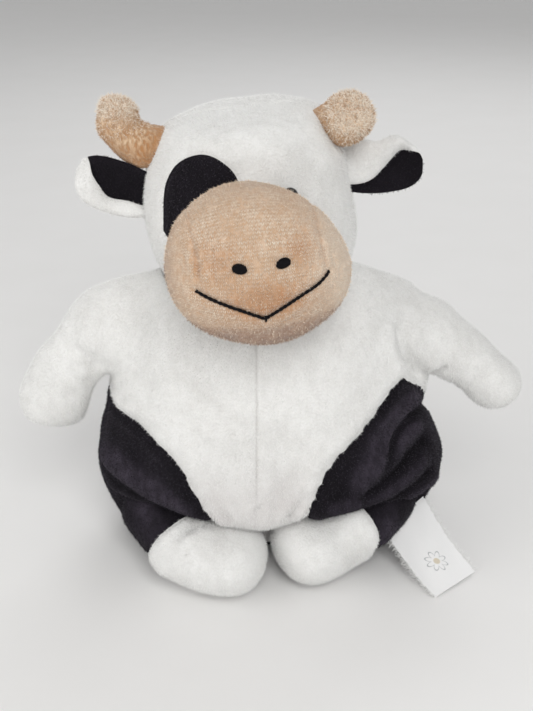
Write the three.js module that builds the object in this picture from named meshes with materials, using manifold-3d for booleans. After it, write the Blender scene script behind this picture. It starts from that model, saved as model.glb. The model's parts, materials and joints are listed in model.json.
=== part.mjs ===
// A sitting plush cow: sewn velour skins over stuffing, with a terry muzzle and horns.
// Millimetres, +Z up. The cow faces -Y, and the origin lies on the floor under its seat.
// Left and right are those of a viewer who faces the cow: left is -X.
import * as THREE from 'three';
import { mergeVertices } from 'three/addons/utils/BufferGeometryUtils.js';
import Module from 'manifold-3d';

const wasm = await Module();
wasm.setup();

// Fabric and clearances that every sewn piece shares
const skin = 1.6;             // pile fabric, backing and pile together
const seam = 0.3;             // gap between two pieces that are sewn together
const play = 0.5;             // clearance round a piece that turns
const flatDepth = 0.5;        // how deep the standing forms are pressed flat
const overrun = 200;          // how far a cutting solid reaches past what it cuts
const weldTolerance = 0.001;

// Driving dimensions, in millimetres and degrees
const torso = {
  height: 119, width: 138, depth: 95, sides: 20, rings: 10,
  tuckTop: 34, tuckBottom: 12, tuckShare: 0.42,
  seatSeam: 4, pelletTop: 24, stitchShift: -5,
};
const head = {
  radius: 38, crown: 44, sink: 15, shift: -6, back: 2, sides: 20, rings: 10, ballSteps: 6,
  seamBack: 4, neckOpening: 6, roll: 6, yaw: 3.5,
};
const muzzle = {
  width: 61, height: 54, depth: 45, reach: 54.5, lift: 1.5, sides: 18, rings: 8,
  bridgeWidth: 38, bridgeLow: 6, bridgeRound: 5,
};
const eye = { diameter: 6.4, dome: 2.6, shank: 2.6, stem: 7.5, spacing: 24, lift: 19, sides: 10, domeSteps: 3 };
const washer = { diameter: 8, thickness: 1, clearance: 1 };
const nostril = { width: 5.2, height: 3.9, spacing: 13.6, lift: 8.4, proud: 0.9, steps: 5 };
const mouth = { width: 40, lift: 1.4, dip: 10.4, sag: 1, thread: 1.1, proud: 0.8 };
const patch = { radius: 15, across: -15.6, up: 17.5, steps: 9 };
const horn = {
  diameter: 17.5, sides: 10, rings: 6, out: 21, height: 29, elbowRise: 0.5, tipIn: 6, rise: 20.5,
  elbow: { left: 27, right: 20 }, lean: { left: 0, right: 66 },
};
const ear = {
  length: 26.5, width: 22, thickness: 5, cup: 4, sides: 12, rings: 5, rootRadius: 4.4, height: 12.5,
  lift: { left: 29, right: 6 }, fold: { left: -4, right: 20 },
};
const arm = {
  length: 47, width: { left: 28, right: 22.5 }, thickness: { left: 22.5, right: 26 },
  rootRadius: 11.5, sides: 14, rings: 7, drop: 22,
};
const leg = {
  length: 34, diameter: 27, rootRadius: 13, sides: 12, rings: 5, hipOut: 47, hipForward: 20,
  hipHeight: 20,
};
const foot = {
  length: { left: 46, right: 43 }, width: 37, height: 28, sides: 14, rings: 7,
  between: { left: 1.5, right: 3.5 }, forward: { left: 42, right: 38.5 }, turn: { left: 17, right: 30 },
};
const tail = {
  diameter: 8, length: 30, out: 7, sides: 8, rings: 5, height: 54, rootRadius: 3.6,
  tuftLength: 20, tuftDiameter: 14, tuftRings: 5,
};
const label = {
  width: 24, thickness: 0.9, bow: 1.6, turn: 40, rootTilt: 17, tuck: 3, steps: 5,
  rootOut: 56, rootForward: 6.5, rootHeight: 10.5, tipOut: 71, tipForward: 38, tipHeight: 1.4,
};
const rootSides = 12;         // facets round a limb's root and its socket
const curveSteps = 4;         // straight pieces in each curve of a seam's outline
const finerSteps = 10;        // how much finer a form's outline is read than it is meshed
const openShare = 0.6;        // where a limb's root is left open, as a share of its root's radius

// How far each joint turns, in degrees. The left ear lifts until it meets its horn.
const ranges = {
  head: [-14, 12], ear: { left: [-18, 2], right: [-18, 18] }, arm: [0, 30], leg: [0, 20],
  tail: [-25, 25], label: [0, 40],
};

const colours = {
  white: 0xd9d9d6, black: 0x26222b, terry: 0xd9b48f, horn: 0xd6a878, thread: 0x17151a,
  fibre: 0xf1f0ea, glossBlack: 0x0b0b0d, plastic: 0xd8d8d4, pouch: 0xe6dfcd, satin: 0xeeeeec,
};

// Outlines, as shares of a radius and of the distance along an axis
const torsoShares = [
  [0, 0], [0.45, 0], [0.74, 0.012], [0.87, 0.07], [0.96, 0.16], [1, 0.3], [0.965, 0.45],
  [0.9, 0.59], [0.845, 0.71], [0.8, 0.81], [0.735, 0.89], [0.6, 0.955], [0.32, 0.99], [0, 1],
];
const crownShares = [
  [0.985, 0.22], [0.955, 0.42], [0.91, 0.62], [0.84, 0.79], [0.71, 0.915], [0.42, 0.985], [0, 1],
];
const ovalShares = [
  [0, 0], [0.42, 0.045], [0.73, 0.155], [0.93, 0.31], [1, 0.5], [0.94, 0.69], [0.75, 0.845],
  [0.43, 0.955], [0, 1],
];
const armShares = [
  [0, 0], [0.7, 0.03], [1.12, 0.12], [1.2, 0.22], [1.08, 0.36], [0.95, 0.5], [0.94, 0.64],
  [1, 0.78], [0.9, 0.9], [0.6, 0.97], [0, 1],
];
const legShares = [[0, 0], [0.6, 0.04], [0.92, 0.15], [1, 0.4], [0.98, 0.7], [0.8, 0.92], [0, 1]];
const footShares = [
  [0, 0], [0.45, 0.035], [0.72, 0.13], [0.86, 0.28], [0.97, 0.46], [1, 0.6], [0.95, 0.75],
  [0.77, 0.89], [0.45, 0.97], [0, 1],
];
const hornShares = [
  [0, 0], [0.7, 0.02], [1, 0.1], [0.96, 0.4], [0.86, 0.65], [0.8, 0.83], [0.58, 0.95], [0, 1],
];
const earShares = [
  [0, 0], [0.3, 0.02], [0.62, 0.16], [0.93, 0.4], [1, 0.6], [0.9, 0.8], [0.55, 0.95], [0, 1],
];
const tailShares = [[0, 0], [0.8, 0.03], [1, 0.1], [0.9, 0.5], [0.8, 0.94], [0, 1]];
const tuftShares = [[0, 0], [0.55, 0.06], [0.9, 0.25], [1, 0.5], [0.72, 0.8], [0.3, 0.97], [0, 1]];

// The seam between the white front and the black hips: half width and height, as torso shares
const bibShares = [
  [0.2, 0], [0.28, 0.22], [0.35, 0.37], [0.46, 0.48], [0.61, 0.575], [0.78, 0.65], [1.06, 0.7],
];

// Bends of the arms from the shoulder, out, forward and up, as shares of the arm's length
const armBendShares = {
  left: [[-0.18, 0, 0.08], [0.48, 0.1, -0.12], [0.65, 0.2, -0.915]],
  right: [[-0.18, 0, 0.08], [0.44, 0.06, -0.19], [0.87, 0.15, -0.68]],
};
// Bend of the legs from the hip, out, forward and up, as shares of the leg's length
const legBendShares = [[0.12, -0.26, 0.12], [-0.22, 0.26, -0.04], [-0.7, 0.45, -0.19]];
// The seam between leg and foot: a place as shares of the foot, and the way to the foot's side
const ankleShares = {
  left: { along: 0.27, up: 0.68, toFoot: [0.41, -0.39, -0.83] },
  right: { along: 0.1, up: 0.5, toFoot: [-0.75, -0.28, -0.6] },
};

const radians = THREE.MathUtils.degToRad;
const vec = (x, y, z) => new THREE.Vector3(x, y, z);

// Booleans

/** A closed geometry as a solid that can be joined and cut. */
function solidOf(geometry) {
  const bare = geometry.index ? geometry.toNonIndexed() : geometry.clone();
  for (const name of ['normal', 'uv']) bare.deleteAttribute(name);
  const merged = mergeVertices(bare, weldTolerance);
  const index = merged.index.array;
  const kept = [];
  for (let i = 0; i < index.length; i += 3) {
    const [a, b, c] = [index[i], index[i + 1], index[i + 2]];
    if (a !== b && b !== c && c !== a) kept.push(a, b, c);
  }
  const mesh = new wasm.Mesh({
    numProp: 3,
    vertProperties: new Float32Array(merged.attributes.position.array),
    triVerts: new Uint32Array(kept),
  });
  return new wasm.Manifold(mesh);
}

/** The solid less every cutter. */
const cut = (solid, ...cutters) => cutters.reduce((rest, cutter) => rest.subtract(cutter), solid);

/** A mesh of the solid, named as its piece. */
function piece(name, solid, finish) {
  const { numProp, vertProperties, triVerts } = solid.getMesh();
  const positions = new Float32Array((vertProperties.length / numProp) * 3);
  for (let i = 0; i * 3 < positions.length; i += 1) {
    positions.set(vertProperties.slice(i * numProp, i * numProp + 3), i * 3);
  }
  const geometry = new THREE.BufferGeometry();
  geometry.setAttribute('position', new THREE.BufferAttribute(positions, 3));
  geometry.setIndex(new THREE.BufferAttribute(new Uint32Array(triVerts), 1));
  geometry.computeVertexNormals();
  const material = new THREE.MeshStandardMaterial(finish);
  const mesh = new THREE.Mesh(geometry, material);
  mesh.name = name;
  return mesh;
}

const cloth = (color) => ({ color, roughness: 0.95, metalness: 0 });
const hard = (color) => ({ color, roughness: 0.15, metalness: 0 });

// Soft forms: a lathe outline whose axis is bent along a path

/** Shares scaled to a radius and a length. */
const outlineOf = (shares, radius, length) =>
  shares.map(([out, along]) => new THREE.Vector2(out * radius, along * length));

/**
 * A stuffed form round a path.
 * outline: radius and distance along the path, from axis to axis.
 * flatten: thickness over width. wide: the direction in which the form is widest.
 */
class SoftForm {
  constructor({ path, outline, wide, flatten = 1, sides, rings, shape = null }) {
    Object.assign(this, { path, wide, flatten, sides, rings, shape });
    this.profile = new THREE.SplineCurve(outline);
    this.length = path.getLength();
  }

  /** The path's place, tangent and two cross directions at a distance along it. */
  frame(distance) {
    const share = THREE.MathUtils.clamp(distance / this.length, 0, 1);
    const tangent = this.path.getTangentAt(share);
    const centre = this.path.getPointAt(share)
      .addScaledVector(tangent, distance - share * this.length);
    const thin = new THREE.Vector3().crossVectors(tangent, this.wide).normalize();
    const wide = new THREE.Vector3().crossVectors(thin, tangent).normalize();
    return { centre, tangent, thin, wide };
  }

  /** The profile grown by a distance, square to itself. */
  grown(grow) {
    const points = this.profile.getSpacedPoints(this.rings);
    return points.map((point, i) => {
      const slope = this.profile.getTangentAt(i / this.rings);
      const atEnd = i === 0 || i === this.rings;
      const end = i === 0 ? -1 : 1;
      const radius = atEnd ? 0 : Math.max(point.x + slope.y * grow, 0);
      return new THREE.Vector2(radius, point.y + (atEnd ? end : -slope.x) * grow);
    });
  }

  /** The place for a radius, a distance along and an angle from the wide direction. */
  place(radius, distance, angle, grow) {
    const { centre, thin, wide } = this.frame(distance);
    const width = this.profile.points.reduce((most, p) => Math.max(most, p.x), 0);
    const squash = (width * this.flatten + grow) / (width + grow);
    const point = centre
      .addScaledVector(wide, radius * Math.cos(angle))
      .addScaledVector(thin, radius * Math.sin(angle) * squash);
    return this.shape ? this.shape(point, grow) : point;
  }

  /** The radius at a distance along the path. */
  radiusAt(distance) {
    const points = this.profile.getPoints(this.rings * finerSteps);
    const next = points.findIndex((point, i) => i > 0 && point.y > distance);
    const [a, b] = [points[next - 1], points[next]];
    return a.x + ((b.x - a.x) * (distance - a.y)) / (b.y - a.y);
  }

  geometry(grow = 0) {
    const lathe = new THREE.LatheGeometry(this.grown(grow), this.sides);
    const positions = lathe.attributes.position;
    for (let i = 0; i < positions.count; i += 1) {
      const [x, along, z] = [positions.getX(i), positions.getY(i), positions.getZ(i)];
      const point = this.place(Math.hypot(x, z), along, Math.atan2(x, z), grow);
      positions.setXYZ(i, point.x, point.y, point.z);
    }
    return lathe;
  }

  solid(grow = 0) {
    return solidOf(this.geometry(grow));
  }

  /** The filling: every second facet, which keeps it inside the skin. */
  filling(grow) {
    return new SoftForm({ ...this, outline: this.profile.points, sides: this.sides / 2 }).solid(grow);
  }
}

/** A soft form whose outline is a table of shares of its width and of its path's length. */
function formAlong(path, shares, width, rest) {
  return new SoftForm({ path, outline: outlineOf(shares, width / 2, path.getLength()), ...rest });
}

/** The geometry turned about an axis through a pivot, by degrees. */
function turned(geometry, pivot, axis, degrees) {
  const copy = geometry.clone();
  copy.translate(-pivot.x, -pivot.y, -pivot.z);
  copy.applyMatrix4(new THREE.Matrix4().makeRotationAxis(axis, radians(degrees)));
  copy.translate(pivot.x, pivot.y, pivot.z);
  return copy;
}

/** What a fixed form takes up, seen from a piece that turns between two angles beside it. */
function sweptCutters(geometry, pivot, axis, range) {
  return range.map((angle) => solidOf(turned(geometry, pivot, axis, -angle)));
}

/** A ball whose facets lie outside the true sphere, for a socket, or inside it, for a root. */
function ball(centre, radius, outside = false, sides = rootSides) {
  const rings = sides / 2;
  const facets = Math.cos(Math.PI / sides) * Math.cos(Math.PI / rings / 2);
  const sphere = new THREE.SphereGeometry(outside ? radius / facets : radius, sides, rings);
  sphere.translate(centre.x, centre.y, centre.z);
  return solidOf(sphere);
}

/** A box between two corners. */
function box(low, high) {
  const size = new THREE.Vector3().subVectors(high, low);
  const middle = new THREE.Vector3().addVectors(high, low).multiplyScalar(0.5);
  const geometry = new THREE.BoxGeometry(size.x, size.y, size.z);
  geometry.translate(middle.x, middle.y, middle.z);
  return solidOf(geometry);
}

/** All space below a height. */
const below = (z) => box(vec(-overrun, -overrun, -overrun), vec(overrun, overrun, z));
/** All space above a height. */
const above = (z) => box(vec(-overrun, -overrun, z), vec(overrun, overrun, 2 * overrun));

/** An outline in X and Z, extruded along Y between two places. */
function slabXZ(shape, yLow, yHigh) {
  const geometry = new THREE.ExtrudeGeometry(shape, {
    depth: yHigh - yLow, bevelEnabled: false, curveSegments: curveSteps,
  });
  geometry.rotateX(Math.PI / 2);
  geometry.translate(0, yHigh, 0);
  return solidOf(geometry);
}

/** All space on the side of a plane that its normal points to. */
function beyond(point, normal) {
  const geometry = new THREE.BoxGeometry(overrun, overrun, overrun);
  geometry.translate(0, 0, overrun / 2);
  const turn = new THREE.Quaternion().setFromUnitVectors(vec(0, 0, 1), normal.clone().normalize());
  geometry.applyQuaternion(turn);
  geometry.translate(point.x, point.y, point.z);
  return solidOf(geometry);
}

// Places that several pieces share

const straightUp = (x, y, low, high) => new THREE.LineCurve3(vec(x, y, low), vec(x, y, high));
const headCentre = vec(head.shift, head.back, torso.height + head.sink);
const sides = { left: -1, right: 1 };

// Torso: an egg that is drawn in below the belly, where the feet go

/** How far the front comes forward at a height, as a share of the full depth. */
function tuckAt(z) {
  return torso.tuckShare
    + (1 - torso.tuckShare) * THREE.MathUtils.smoothstep(z, torso.tuckBottom, torso.tuckTop);
}

const torsoForm = new SoftForm({
  path: straightUp(0, 0, -flatDepth, torso.height),
  outline: outlineOf(torsoShares, torso.width / 2, torso.height + flatDepth),
  wide: vec(1, 0, 0),
  flatten: torso.depth / torso.width,
  sides: torso.sides,
  rings: torso.rings,
  shape: (point) => (point.y < 0 ? point.setY(point.y * tuckAt(point.z)) : point),
});

// Head: a ball that sits in the neck, drawn up into a flat-topped barrel. Its pieces are placed
// round its own centre, and their group is turned as a whole.

/** The ball's lower half, then the crown. */
function headOutline() {
  const points = [];
  for (let i = 0; i <= head.ballSteps; i += 1) {
    const angle = (Math.PI / 2) * (i / head.ballSteps);
    points.push(new THREE.Vector2(head.radius * Math.sin(angle), head.radius * (1 - Math.cos(angle))));
  }
  const crown = outlineOf(crownShares, head.radius, head.crown);
  return points.concat(crown.map((point) => new THREE.Vector2(point.x, point.y + head.radius)));
}

const headForm = new SoftForm({
  path: straightUp(0, 0, -head.radius, head.crown),
  outline: headOutline(),
  wide: vec(1, 0, 0),
  sides: head.sides,
  rings: head.rings,
});

/** How far the head's front lies from its axis at a place across and up. */
function faceDepth(across, up) {
  const radius = headForm.radiusAt(up + head.radius);
  return Math.sqrt(radius ** 2 - across ** 2);
}

const muzzleForm = new SoftForm({
  path: new THREE.LineCurve3(
    vec(0, muzzle.depth / 2 - muzzle.reach, muzzle.lift),
    vec(0, -muzzle.depth / 2 - muzzle.reach, muzzle.lift),
  ),
  outline: outlineOf(ovalShares, muzzle.width / 2, muzzle.depth),
  wide: vec(1, 0, 0),
  flatten: muzzle.height / muzzle.width,
  sides: muzzle.sides,
  rings: muzzle.rings,
});

// Joints of the limbs

const shoulderHeight = torso.height - arm.drop;
const shoulder = {};
const hip = {};
for (const [side, sign] of Object.entries(sides)) {
  shoulder[side] = vec(sign * torsoForm.radiusAt(shoulderHeight + flatDepth), -head.back, shoulderHeight);
  hip[side] = vec(sign * leg.hipOut, -leg.hipForward, leg.hipHeight);
}
const tailRoot = vec(0, torsoForm.radiusAt(tail.height + flatDepth) * torsoForm.flatten, tail.height);

/** The sockets that the head, arms, legs and tail leave in whatever lies under them. */
const torsoSockets = (extra) => [
  ball(headCentre, head.radius + play + extra, true, head.sides),
  ...Object.values(shoulder).map((centre) => ball(centre, arm.rootRadius + play + extra, true)),
  ...Object.values(hip).map((centre) => ball(centre, leg.rootRadius + play + extra, true)),
  ball(tailRoot, tail.rootRadius + play + extra, true),
];

/** The white bib, cut to one side of its seams by a shift. */
function bibShape(shift, middle) {
  const half = torso.width / 2;
  const right = bibShares.map(([out, up]) =>
    new THREE.Vector2(middle + out * half + shift, up * torso.height));
  const left = bibShares.map(([out, up]) =>
    new THREE.Vector2(middle - out * half - shift, up * torso.height)).reverse();
  const topRight = new THREE.Vector2(overrun, torso.height * bibShares.at(-1)[1] + shift);
  const topLeft = new THREE.Vector2(-overrun, torso.height * bibShares.at(-1)[1] + shift);
  return new THREE.Shape([
    ...right, topRight, new THREE.Vector2(overrun, overrun), new THREE.Vector2(-overrun, overrun),
    topLeft, ...left,
  ]);
}

/** The seven panels of the torso's skin, its stuffing and its pellet pouch. */
function buildTorso() {
  const group = new THREE.Group();
  const sockets = torsoSockets(0);
  const shell = cut(torsoForm.solid(), torsoForm.solid(-skin), below(0), ...sockets);
  const half = seam / 2;
  const seat = cut(shell, above(torso.seatSeam - half));
  const upper = cut(shell, below(torso.seatSeam + half));
  const stitch = torso.stitchShift;
  const front = slabXZ(bibShape(-half, stitch), -overrun, -half);
  const back = slabXZ(bibShape(-half, 0), half, overrun);
  const white = [
    slabXZ(bibShape(half, stitch), -overrun, half), slabXZ(bibShape(half, 0), -half, overrun),
  ];
  const leftHalf = (x) => box(vec(-overrun, -overrun, -overrun), vec(x - half, overrun, overrun));
  const rightHalf = (x) => box(vec(x + half, -overrun, -overrun), vec(overrun, overrun, overrun));
  const panels = {
    belly_panel_left: [upper.intersect(front).intersect(leftHalf(stitch)), colours.white],
    belly_panel_right: [upper.intersect(front).intersect(rightHalf(stitch)), colours.white],
    back_panel_left: [upper.intersect(back).intersect(leftHalf(0)), colours.white],
    back_panel_right: [upper.intersect(back).intersect(rightHalf(0)), colours.white],
    hip_panel_left: [cut(upper, ...white).intersect(leftHalf(0)), colours.black],
    hip_panel_right: [cut(upper, ...white).intersect(rightHalf(0)), colours.black],
    seat_panel: [seat, colours.black],
  };
  for (const [name, [solid, colour]] of Object.entries(panels)) {
    group.add(piece(name, solid, cloth(colour)));
  }
  const filling = cut(torsoForm.filling(-skin - seam), below(skin + seam), ...torsoSockets(seam));
  group.add(piece('torso_stuffing', cut(filling, below(torso.pelletTop + half)), cloth(colours.fibre)));
  group.add(piece('pellet_pouch', cut(filling, above(torso.pelletTop - half)), cloth(colours.pouch)));
  return group;
}

/** A lathe outline whose axis points along a direction from a place. */
function spun(points, place, direction, count) {
  const geometry = new THREE.LatheGeometry(points, count);
  const turn = new THREE.Quaternion().setFromUnitVectors(vec(0, 1, 0), direction);
  geometry.applyQuaternion(turn);
  geometry.translate(place.x, place.y, place.z);
  return solidOf(geometry);
}

/** A rod of a radius between two distances from a place along a direction. */
function rod(place, direction, radius, from, to, count = eye.sides) {
  const points = [[0, from], [radius, from], [radius, to], [0, to]];
  return spun(points.map(([r, d]) => new THREE.Vector2(r, d)), place, direction, count);
}

/** Where an eye sits on the face, and the way it looks. */
function eyeSeat(sign) {
  const across = (sign * eye.spacing) / 2;
  const rim = eye.diameter / 2;
  const [low, middle, high] = [-rim, 0, rim].map((step) => faceDepth(across, eye.lift + step));
  const direction = vec(across, -middle, (low - high) * middle / eye.diameter).normalize();
  const place = vec(across, -middle, eye.lift).addScaledVector(direction, seam);
  return { place, direction };
}

/** A domed safety eye with its stem, and the washer that locks it inside the face. */
function buildEye(side, group) {
  const { place, direction } = eyeSeat(sides[side]);
  const rim = eye.diameter / 2;
  const dome = Array.from({ length: eye.domeSteps + 1 }, (_, i) => {
    const angle = (Math.PI / 2) * (i / eye.domeSteps);
    return new THREE.Vector2(rim * Math.cos(angle), eye.dome * Math.sin(angle));
  });
  const stem = [[0, -eye.stem], [eye.shank / 2, -eye.stem], [eye.shank / 2, 0]];
  const outline = stem.map(([r, d]) => new THREE.Vector2(r, d)).concat(dome);
  group.add(piece(`eye_${side}`, spun(outline, place, direction, eye.sides), hard(colours.glossBlack)));
  const inner = -skin - 2 * seam - washer.clearance;
  const ring = cut(
    rod(place, direction, washer.diameter / 2, inner - washer.thickness, inner),
    rod(place, direction, eye.shank / 2 + seam, -overrun, overrun),
  );
  group.add(piece(`eye_washer_${side}`, ring, cloth(colours.plastic)));
}

/** The way that the eyes' stems and washers take through the fabric and the filling. */
function eyeHoles(radius) {
  return Object.values(sides).map((sign) => {
    const { place, direction } = eyeSeat(sign);
    return rod(place, direction, radius, -eye.stem - seam, eye.dome);
  });
}

/** A closed outline in X and Z through points, as a slab in front of the muzzle's middle. */
const faceSlab = (shape) => slabXZ(shape, -overrun, -muzzle.reach);

/** A thin layer of thread that lies on the muzzle. */
const onMuzzle = (proud) => cut(muzzleForm.solid(seam + proud), muzzleForm.solid(seam));

/** The muzzle's middle panel: an arch turned upside down. */
function bridgeShape(shift) {
  const half = muzzle.bridgeWidth / 2 + shift;
  const shape = new THREE.Shape();
  shape.moveTo(-half, overrun);
  shape.lineTo(-half, muzzle.bridgeLow);
  shape.quadraticCurveTo(-half, muzzle.bridgeLow - muzzle.bridgeRound - shift,
    0, muzzle.bridgeLow - muzzle.bridgeRound - shift);
  shape.quadraticCurveTo(half, muzzle.bridgeLow - muzzle.bridgeRound - shift, half, muzzle.bridgeLow);
  shape.lineTo(half, overrun);
  return shape;
}

/** The mouth: a line of thread that dips to a point in the middle. */
function mouthShape() {
  const half = mouth.width / 2;
  const low = mouth.lift - mouth.dip;
  const bend = vec(half / 2, (mouth.lift + low) / 2 - mouth.sag, 0);
  const shape = new THREE.Shape();
  shape.moveTo(-half, mouth.lift);
  shape.quadraticCurveTo(-bend.x, bend.y, 0, low);
  shape.quadraticCurveTo(bend.x, bend.y, half, mouth.lift);
  shape.lineTo(half, mouth.lift + mouth.thread);
  shape.quadraticCurveTo(bend.x, bend.y + mouth.thread, 0, low + mouth.thread);
  shape.quadraticCurveTo(-bend.x, bend.y + mouth.thread, -half, mouth.lift + mouth.thread);
  return shape;
}

/** The muzzle's two skins and filling, the nostrils and the mouth. */
function buildMuzzle(group) {
  const half = seam / 2;
  const against = headForm.solid(seam);
  const shell = cut(muzzleForm.solid(), muzzleForm.solid(-skin), against);
  const bridge = shell.intersect(slabXZ(bridgeShape(-half), -overrun, overrun));
  group.add(piece('muzzle_bridge', bridge, cloth(colours.terry)));
  const wrap = cut(shell, slabXZ(bridgeShape(half), -overrun, overrun));
  group.add(piece('muzzle_wrap', wrap, cloth(colours.terry)));
  const filling = cut(muzzleForm.filling(-skin - seam), headForm.solid(2 * seam));
  group.add(piece('muzzle_stuffing', filling, cloth(colours.fibre)));
  for (const [side, sign] of Object.entries(sides)) {
    const oval = new THREE.Shape();
    oval.absellipse((sign * nostril.spacing) / 2, nostril.lift, nostril.width / 2,
      nostril.height / 2, 0, 2 * Math.PI);
    const outline = new THREE.Shape(oval.getPoints(nostril.steps));
    const pad = onMuzzle(nostril.proud).intersect(faceSlab(outline));
    group.add(piece(`nostril_${side}`, pad, cloth(colours.thread)));
  }
  const line = onMuzzle(mouth.proud).intersect(faceSlab(mouthShape()));
  group.add(piece('mouth_stitching', line, cloth(colours.thread)));
}

/** A horn from inside the head's side, out to its elbow and up to its tip. */
function hornForm(side) {
  const sign = sides[side];
  const base = vec(sign * horn.out, 0, horn.height);
  const elbow = base.clone().add(vec(sign * horn.elbow[side], 0, horn.elbowRise));
  const rise = vec(-sign * horn.tipIn, 0, horn.rise)
    .applyAxisAngle(vec(1, 0, 0), radians(horn.lean[side]));
  const path = new THREE.QuadraticBezierCurve3(base, elbow, elbow.clone().add(rise));
  return formAlong(path, hornShares, horn.diameter, {
    wide: vec(0, 1, 0), sides: horn.sides, rings: horn.rings,
  });
}

/** A horn's skin, open where it is sewn to the head, and its filling. */
function buildHorn(side, group) {
  const form = hornForm(side);
  const shell = cut(form.solid(), form.solid(-skin), headForm.solid(seam));
  group.add(piece(`horn_${side}`, shell, cloth(colours.horn)));
  const filling = cut(form.filling(-skin - 2 * seam), headForm.solid(2 * seam));
  group.add(piece(`horn_stuffing_${side}`, filling, cloth(colours.fibre)));
}

/** The ear's joint, on the head's side. */
function earRoot(side) {
  return vec(sides[side] * headForm.radiusAt(ear.height + head.radius), 0, ear.height);
}

/** The head's panels, its filling and everything that is fixed to it. */
function buildHead() {
  const group = new THREE.Group();
  const half = seam / 2;
  const neck = below(head.neckOpening - head.radius);
  const earSockets = (extra) => Object.keys(sides).map((side) =>
    ball(earRoot(side), ear.rootRadius + play + extra, true));
  const shell = cut(headForm.solid(), headForm.solid(-skin), neck, ...earSockets(0),
    ...eyeHoles(eye.shank / 2 + seam));
  const front = cut(shell, box(vec(-overrun, head.seamBack - half, -overrun), vec(overrun, overrun, overrun)));
  const circle = (radius) => {
    const shape = new THREE.Shape();
    shape.absarc(patch.across, patch.up, radius, 0, 2 * Math.PI);
    return slabXZ(new THREE.Shape(shape.getPoints(patch.steps)), -overrun, 0);
  };
  group.add(piece('head_front', cut(front, circle(patch.radius + half)), cloth(colours.white)));
  group.add(piece('eye_patch', front.intersect(circle(patch.radius - half)), cloth(colours.black)));
  const back = cut(shell, box(vec(-overrun, -overrun, -overrun), vec(overrun, head.seamBack + half, overrun)));
  group.add(piece('head_back', back, cloth(colours.white)));
  const filling = cut(headForm.filling(-skin - seam), neck, ...earSockets(seam),
    ...eyeHoles(washer.diameter / 2 + seam));
  group.add(piece('head_stuffing', filling, cloth(colours.fibre)));
  buildMuzzle(group);
  for (const side of Object.keys(sides)) {
    buildEye(side, group);
    buildHorn(side, group);
    buildEar(side, group);
  }
  group.position.copy(headCentre);
  group.rotation.set(0, -radians(head.roll), radians(head.yaw));
  return group;
}

/** One layer of an ear: flat against the other, and cupped with it along the middle. */
function earLayer(side, clamp) {
  const sign = sides[side];
  const root = earRoot(side);
  const path = new THREE.LineCurve3(vec(-sign * ear.rootRadius, 0, 0), vec(sign * ear.length, 0, 0));
  return formAlong(path, earShares, ear.width, {
    wide: vec(0, 0, 1),
    flatten: ear.thickness / ear.width,
    sides: ear.sides,
    rings: ear.rings,
    shape: (point) => {
      point.y = clamp(point.y) - ear.cup * (point.z / (ear.width / 2)) ** 2;
      point.applyAxisAngle(vec(1, 0, 0), -radians(ear.fold[side]));
      return point.applyAxisAngle(vec(0, 1, 0), -sign * radians(ear.lift[side])).add(root);
    },
  }).solid();
}

/** An ear: a back and a lining sewn round their edge, on a soft root in the head's side. */
function buildEar(side, group) {
  const root = earRoot(side);
  const half = seam / 2;
  const cutters = sweptCutters(headForm.geometry(play), root, vec(0, 1, 0), ranges.ear[side]);
  const back = earLayer(side, (y) => Math.max(y, half));
  const lining = earLayer(side, (y) => Math.min(y, -half));
  group.add(piece(`ear_back_${side}`, cut(back, ...cutters).add(ball(root, ear.rootRadius)),
    cloth(colours.white)));
  group.add(piece(`ear_lining_${side}`, cut(lining, ...cutters, ball(root, ear.rootRadius + seam, true)),
    cloth(colours.black)));
}

// Limbs: each has a ball at its root that sits in a socket of the torso

/** What a limb loses to the torso over its whole travel, at a depth below its surface. */
const torsoSweep = (pivot, axis, range, depth) =>
  sweptCutters(torsoForm.geometry(play + depth), pivot, axis, range);

/** A limb at a depth below its surface: its forms, cut by the torso, with its root's ball. */
function limbSolid(forms, root, axis, range, depth) {
  const joined = forms.map((form) => form.solid(-depth)).reduce((all, next) => all.add(next));
  const clear = cut(joined, ...torsoSweep(root.pivot, axis, range, depth), below(depth));
  return clear.add(ball(root.pivot, root.radius - depth));
}

/** A limb's skin and filling, both open at the root. */
function limbLayers(forms, root, axis, range) {
  const inward = root.pivot.clone().setZ(0).normalize().negate();
  const opening = beyond(root.pivot.clone().addScaledVector(inward, openShare * root.radius), inward)
    .intersect(ball(root.pivot, root.radius, true));
  const [outer, inner, filling] = [0, skin, skin + seam].map((depth) =>
    limbSolid(forms, root, axis, range, depth));
  return { shell: cut(outer, inner, opening), filling: cut(filling, opening) };
}

/** A place given by shares of a length, out, forward and up, on one side of the body. */
const sharePlace = (from, sign, [out, forward, up], length) =>
  from.clone().add(vec(sign * out * length, -forward * length, up * length));

function buildArm(side) {
  const sign = sides[side];
  const group = new THREE.Group();
  const bend = armBendShares[side].map((shares) =>
    sharePlace(shoulder[side], sign, shares, arm.length));
  const form = formAlong(new THREE.QuadraticBezierCurve3(...bend), armShares, arm.width[side], {
    wide: vec(sign, 0, 0),
    flatten: arm.thickness[side] / arm.width[side],
    sides: arm.sides,
    rings: arm.rings,
  });
  const root = { pivot: shoulder[side], radius: arm.rootRadius };
  const { shell, filling } = limbLayers([form], root, vec(0, -sign, 0), ranges.arm);
  group.add(piece(`arm_skin_${side}`, shell, cloth(colours.white)));
  group.add(piece(`arm_stuffing_${side}`, filling, cloth(colours.fibre)));
  return group;
}

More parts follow.
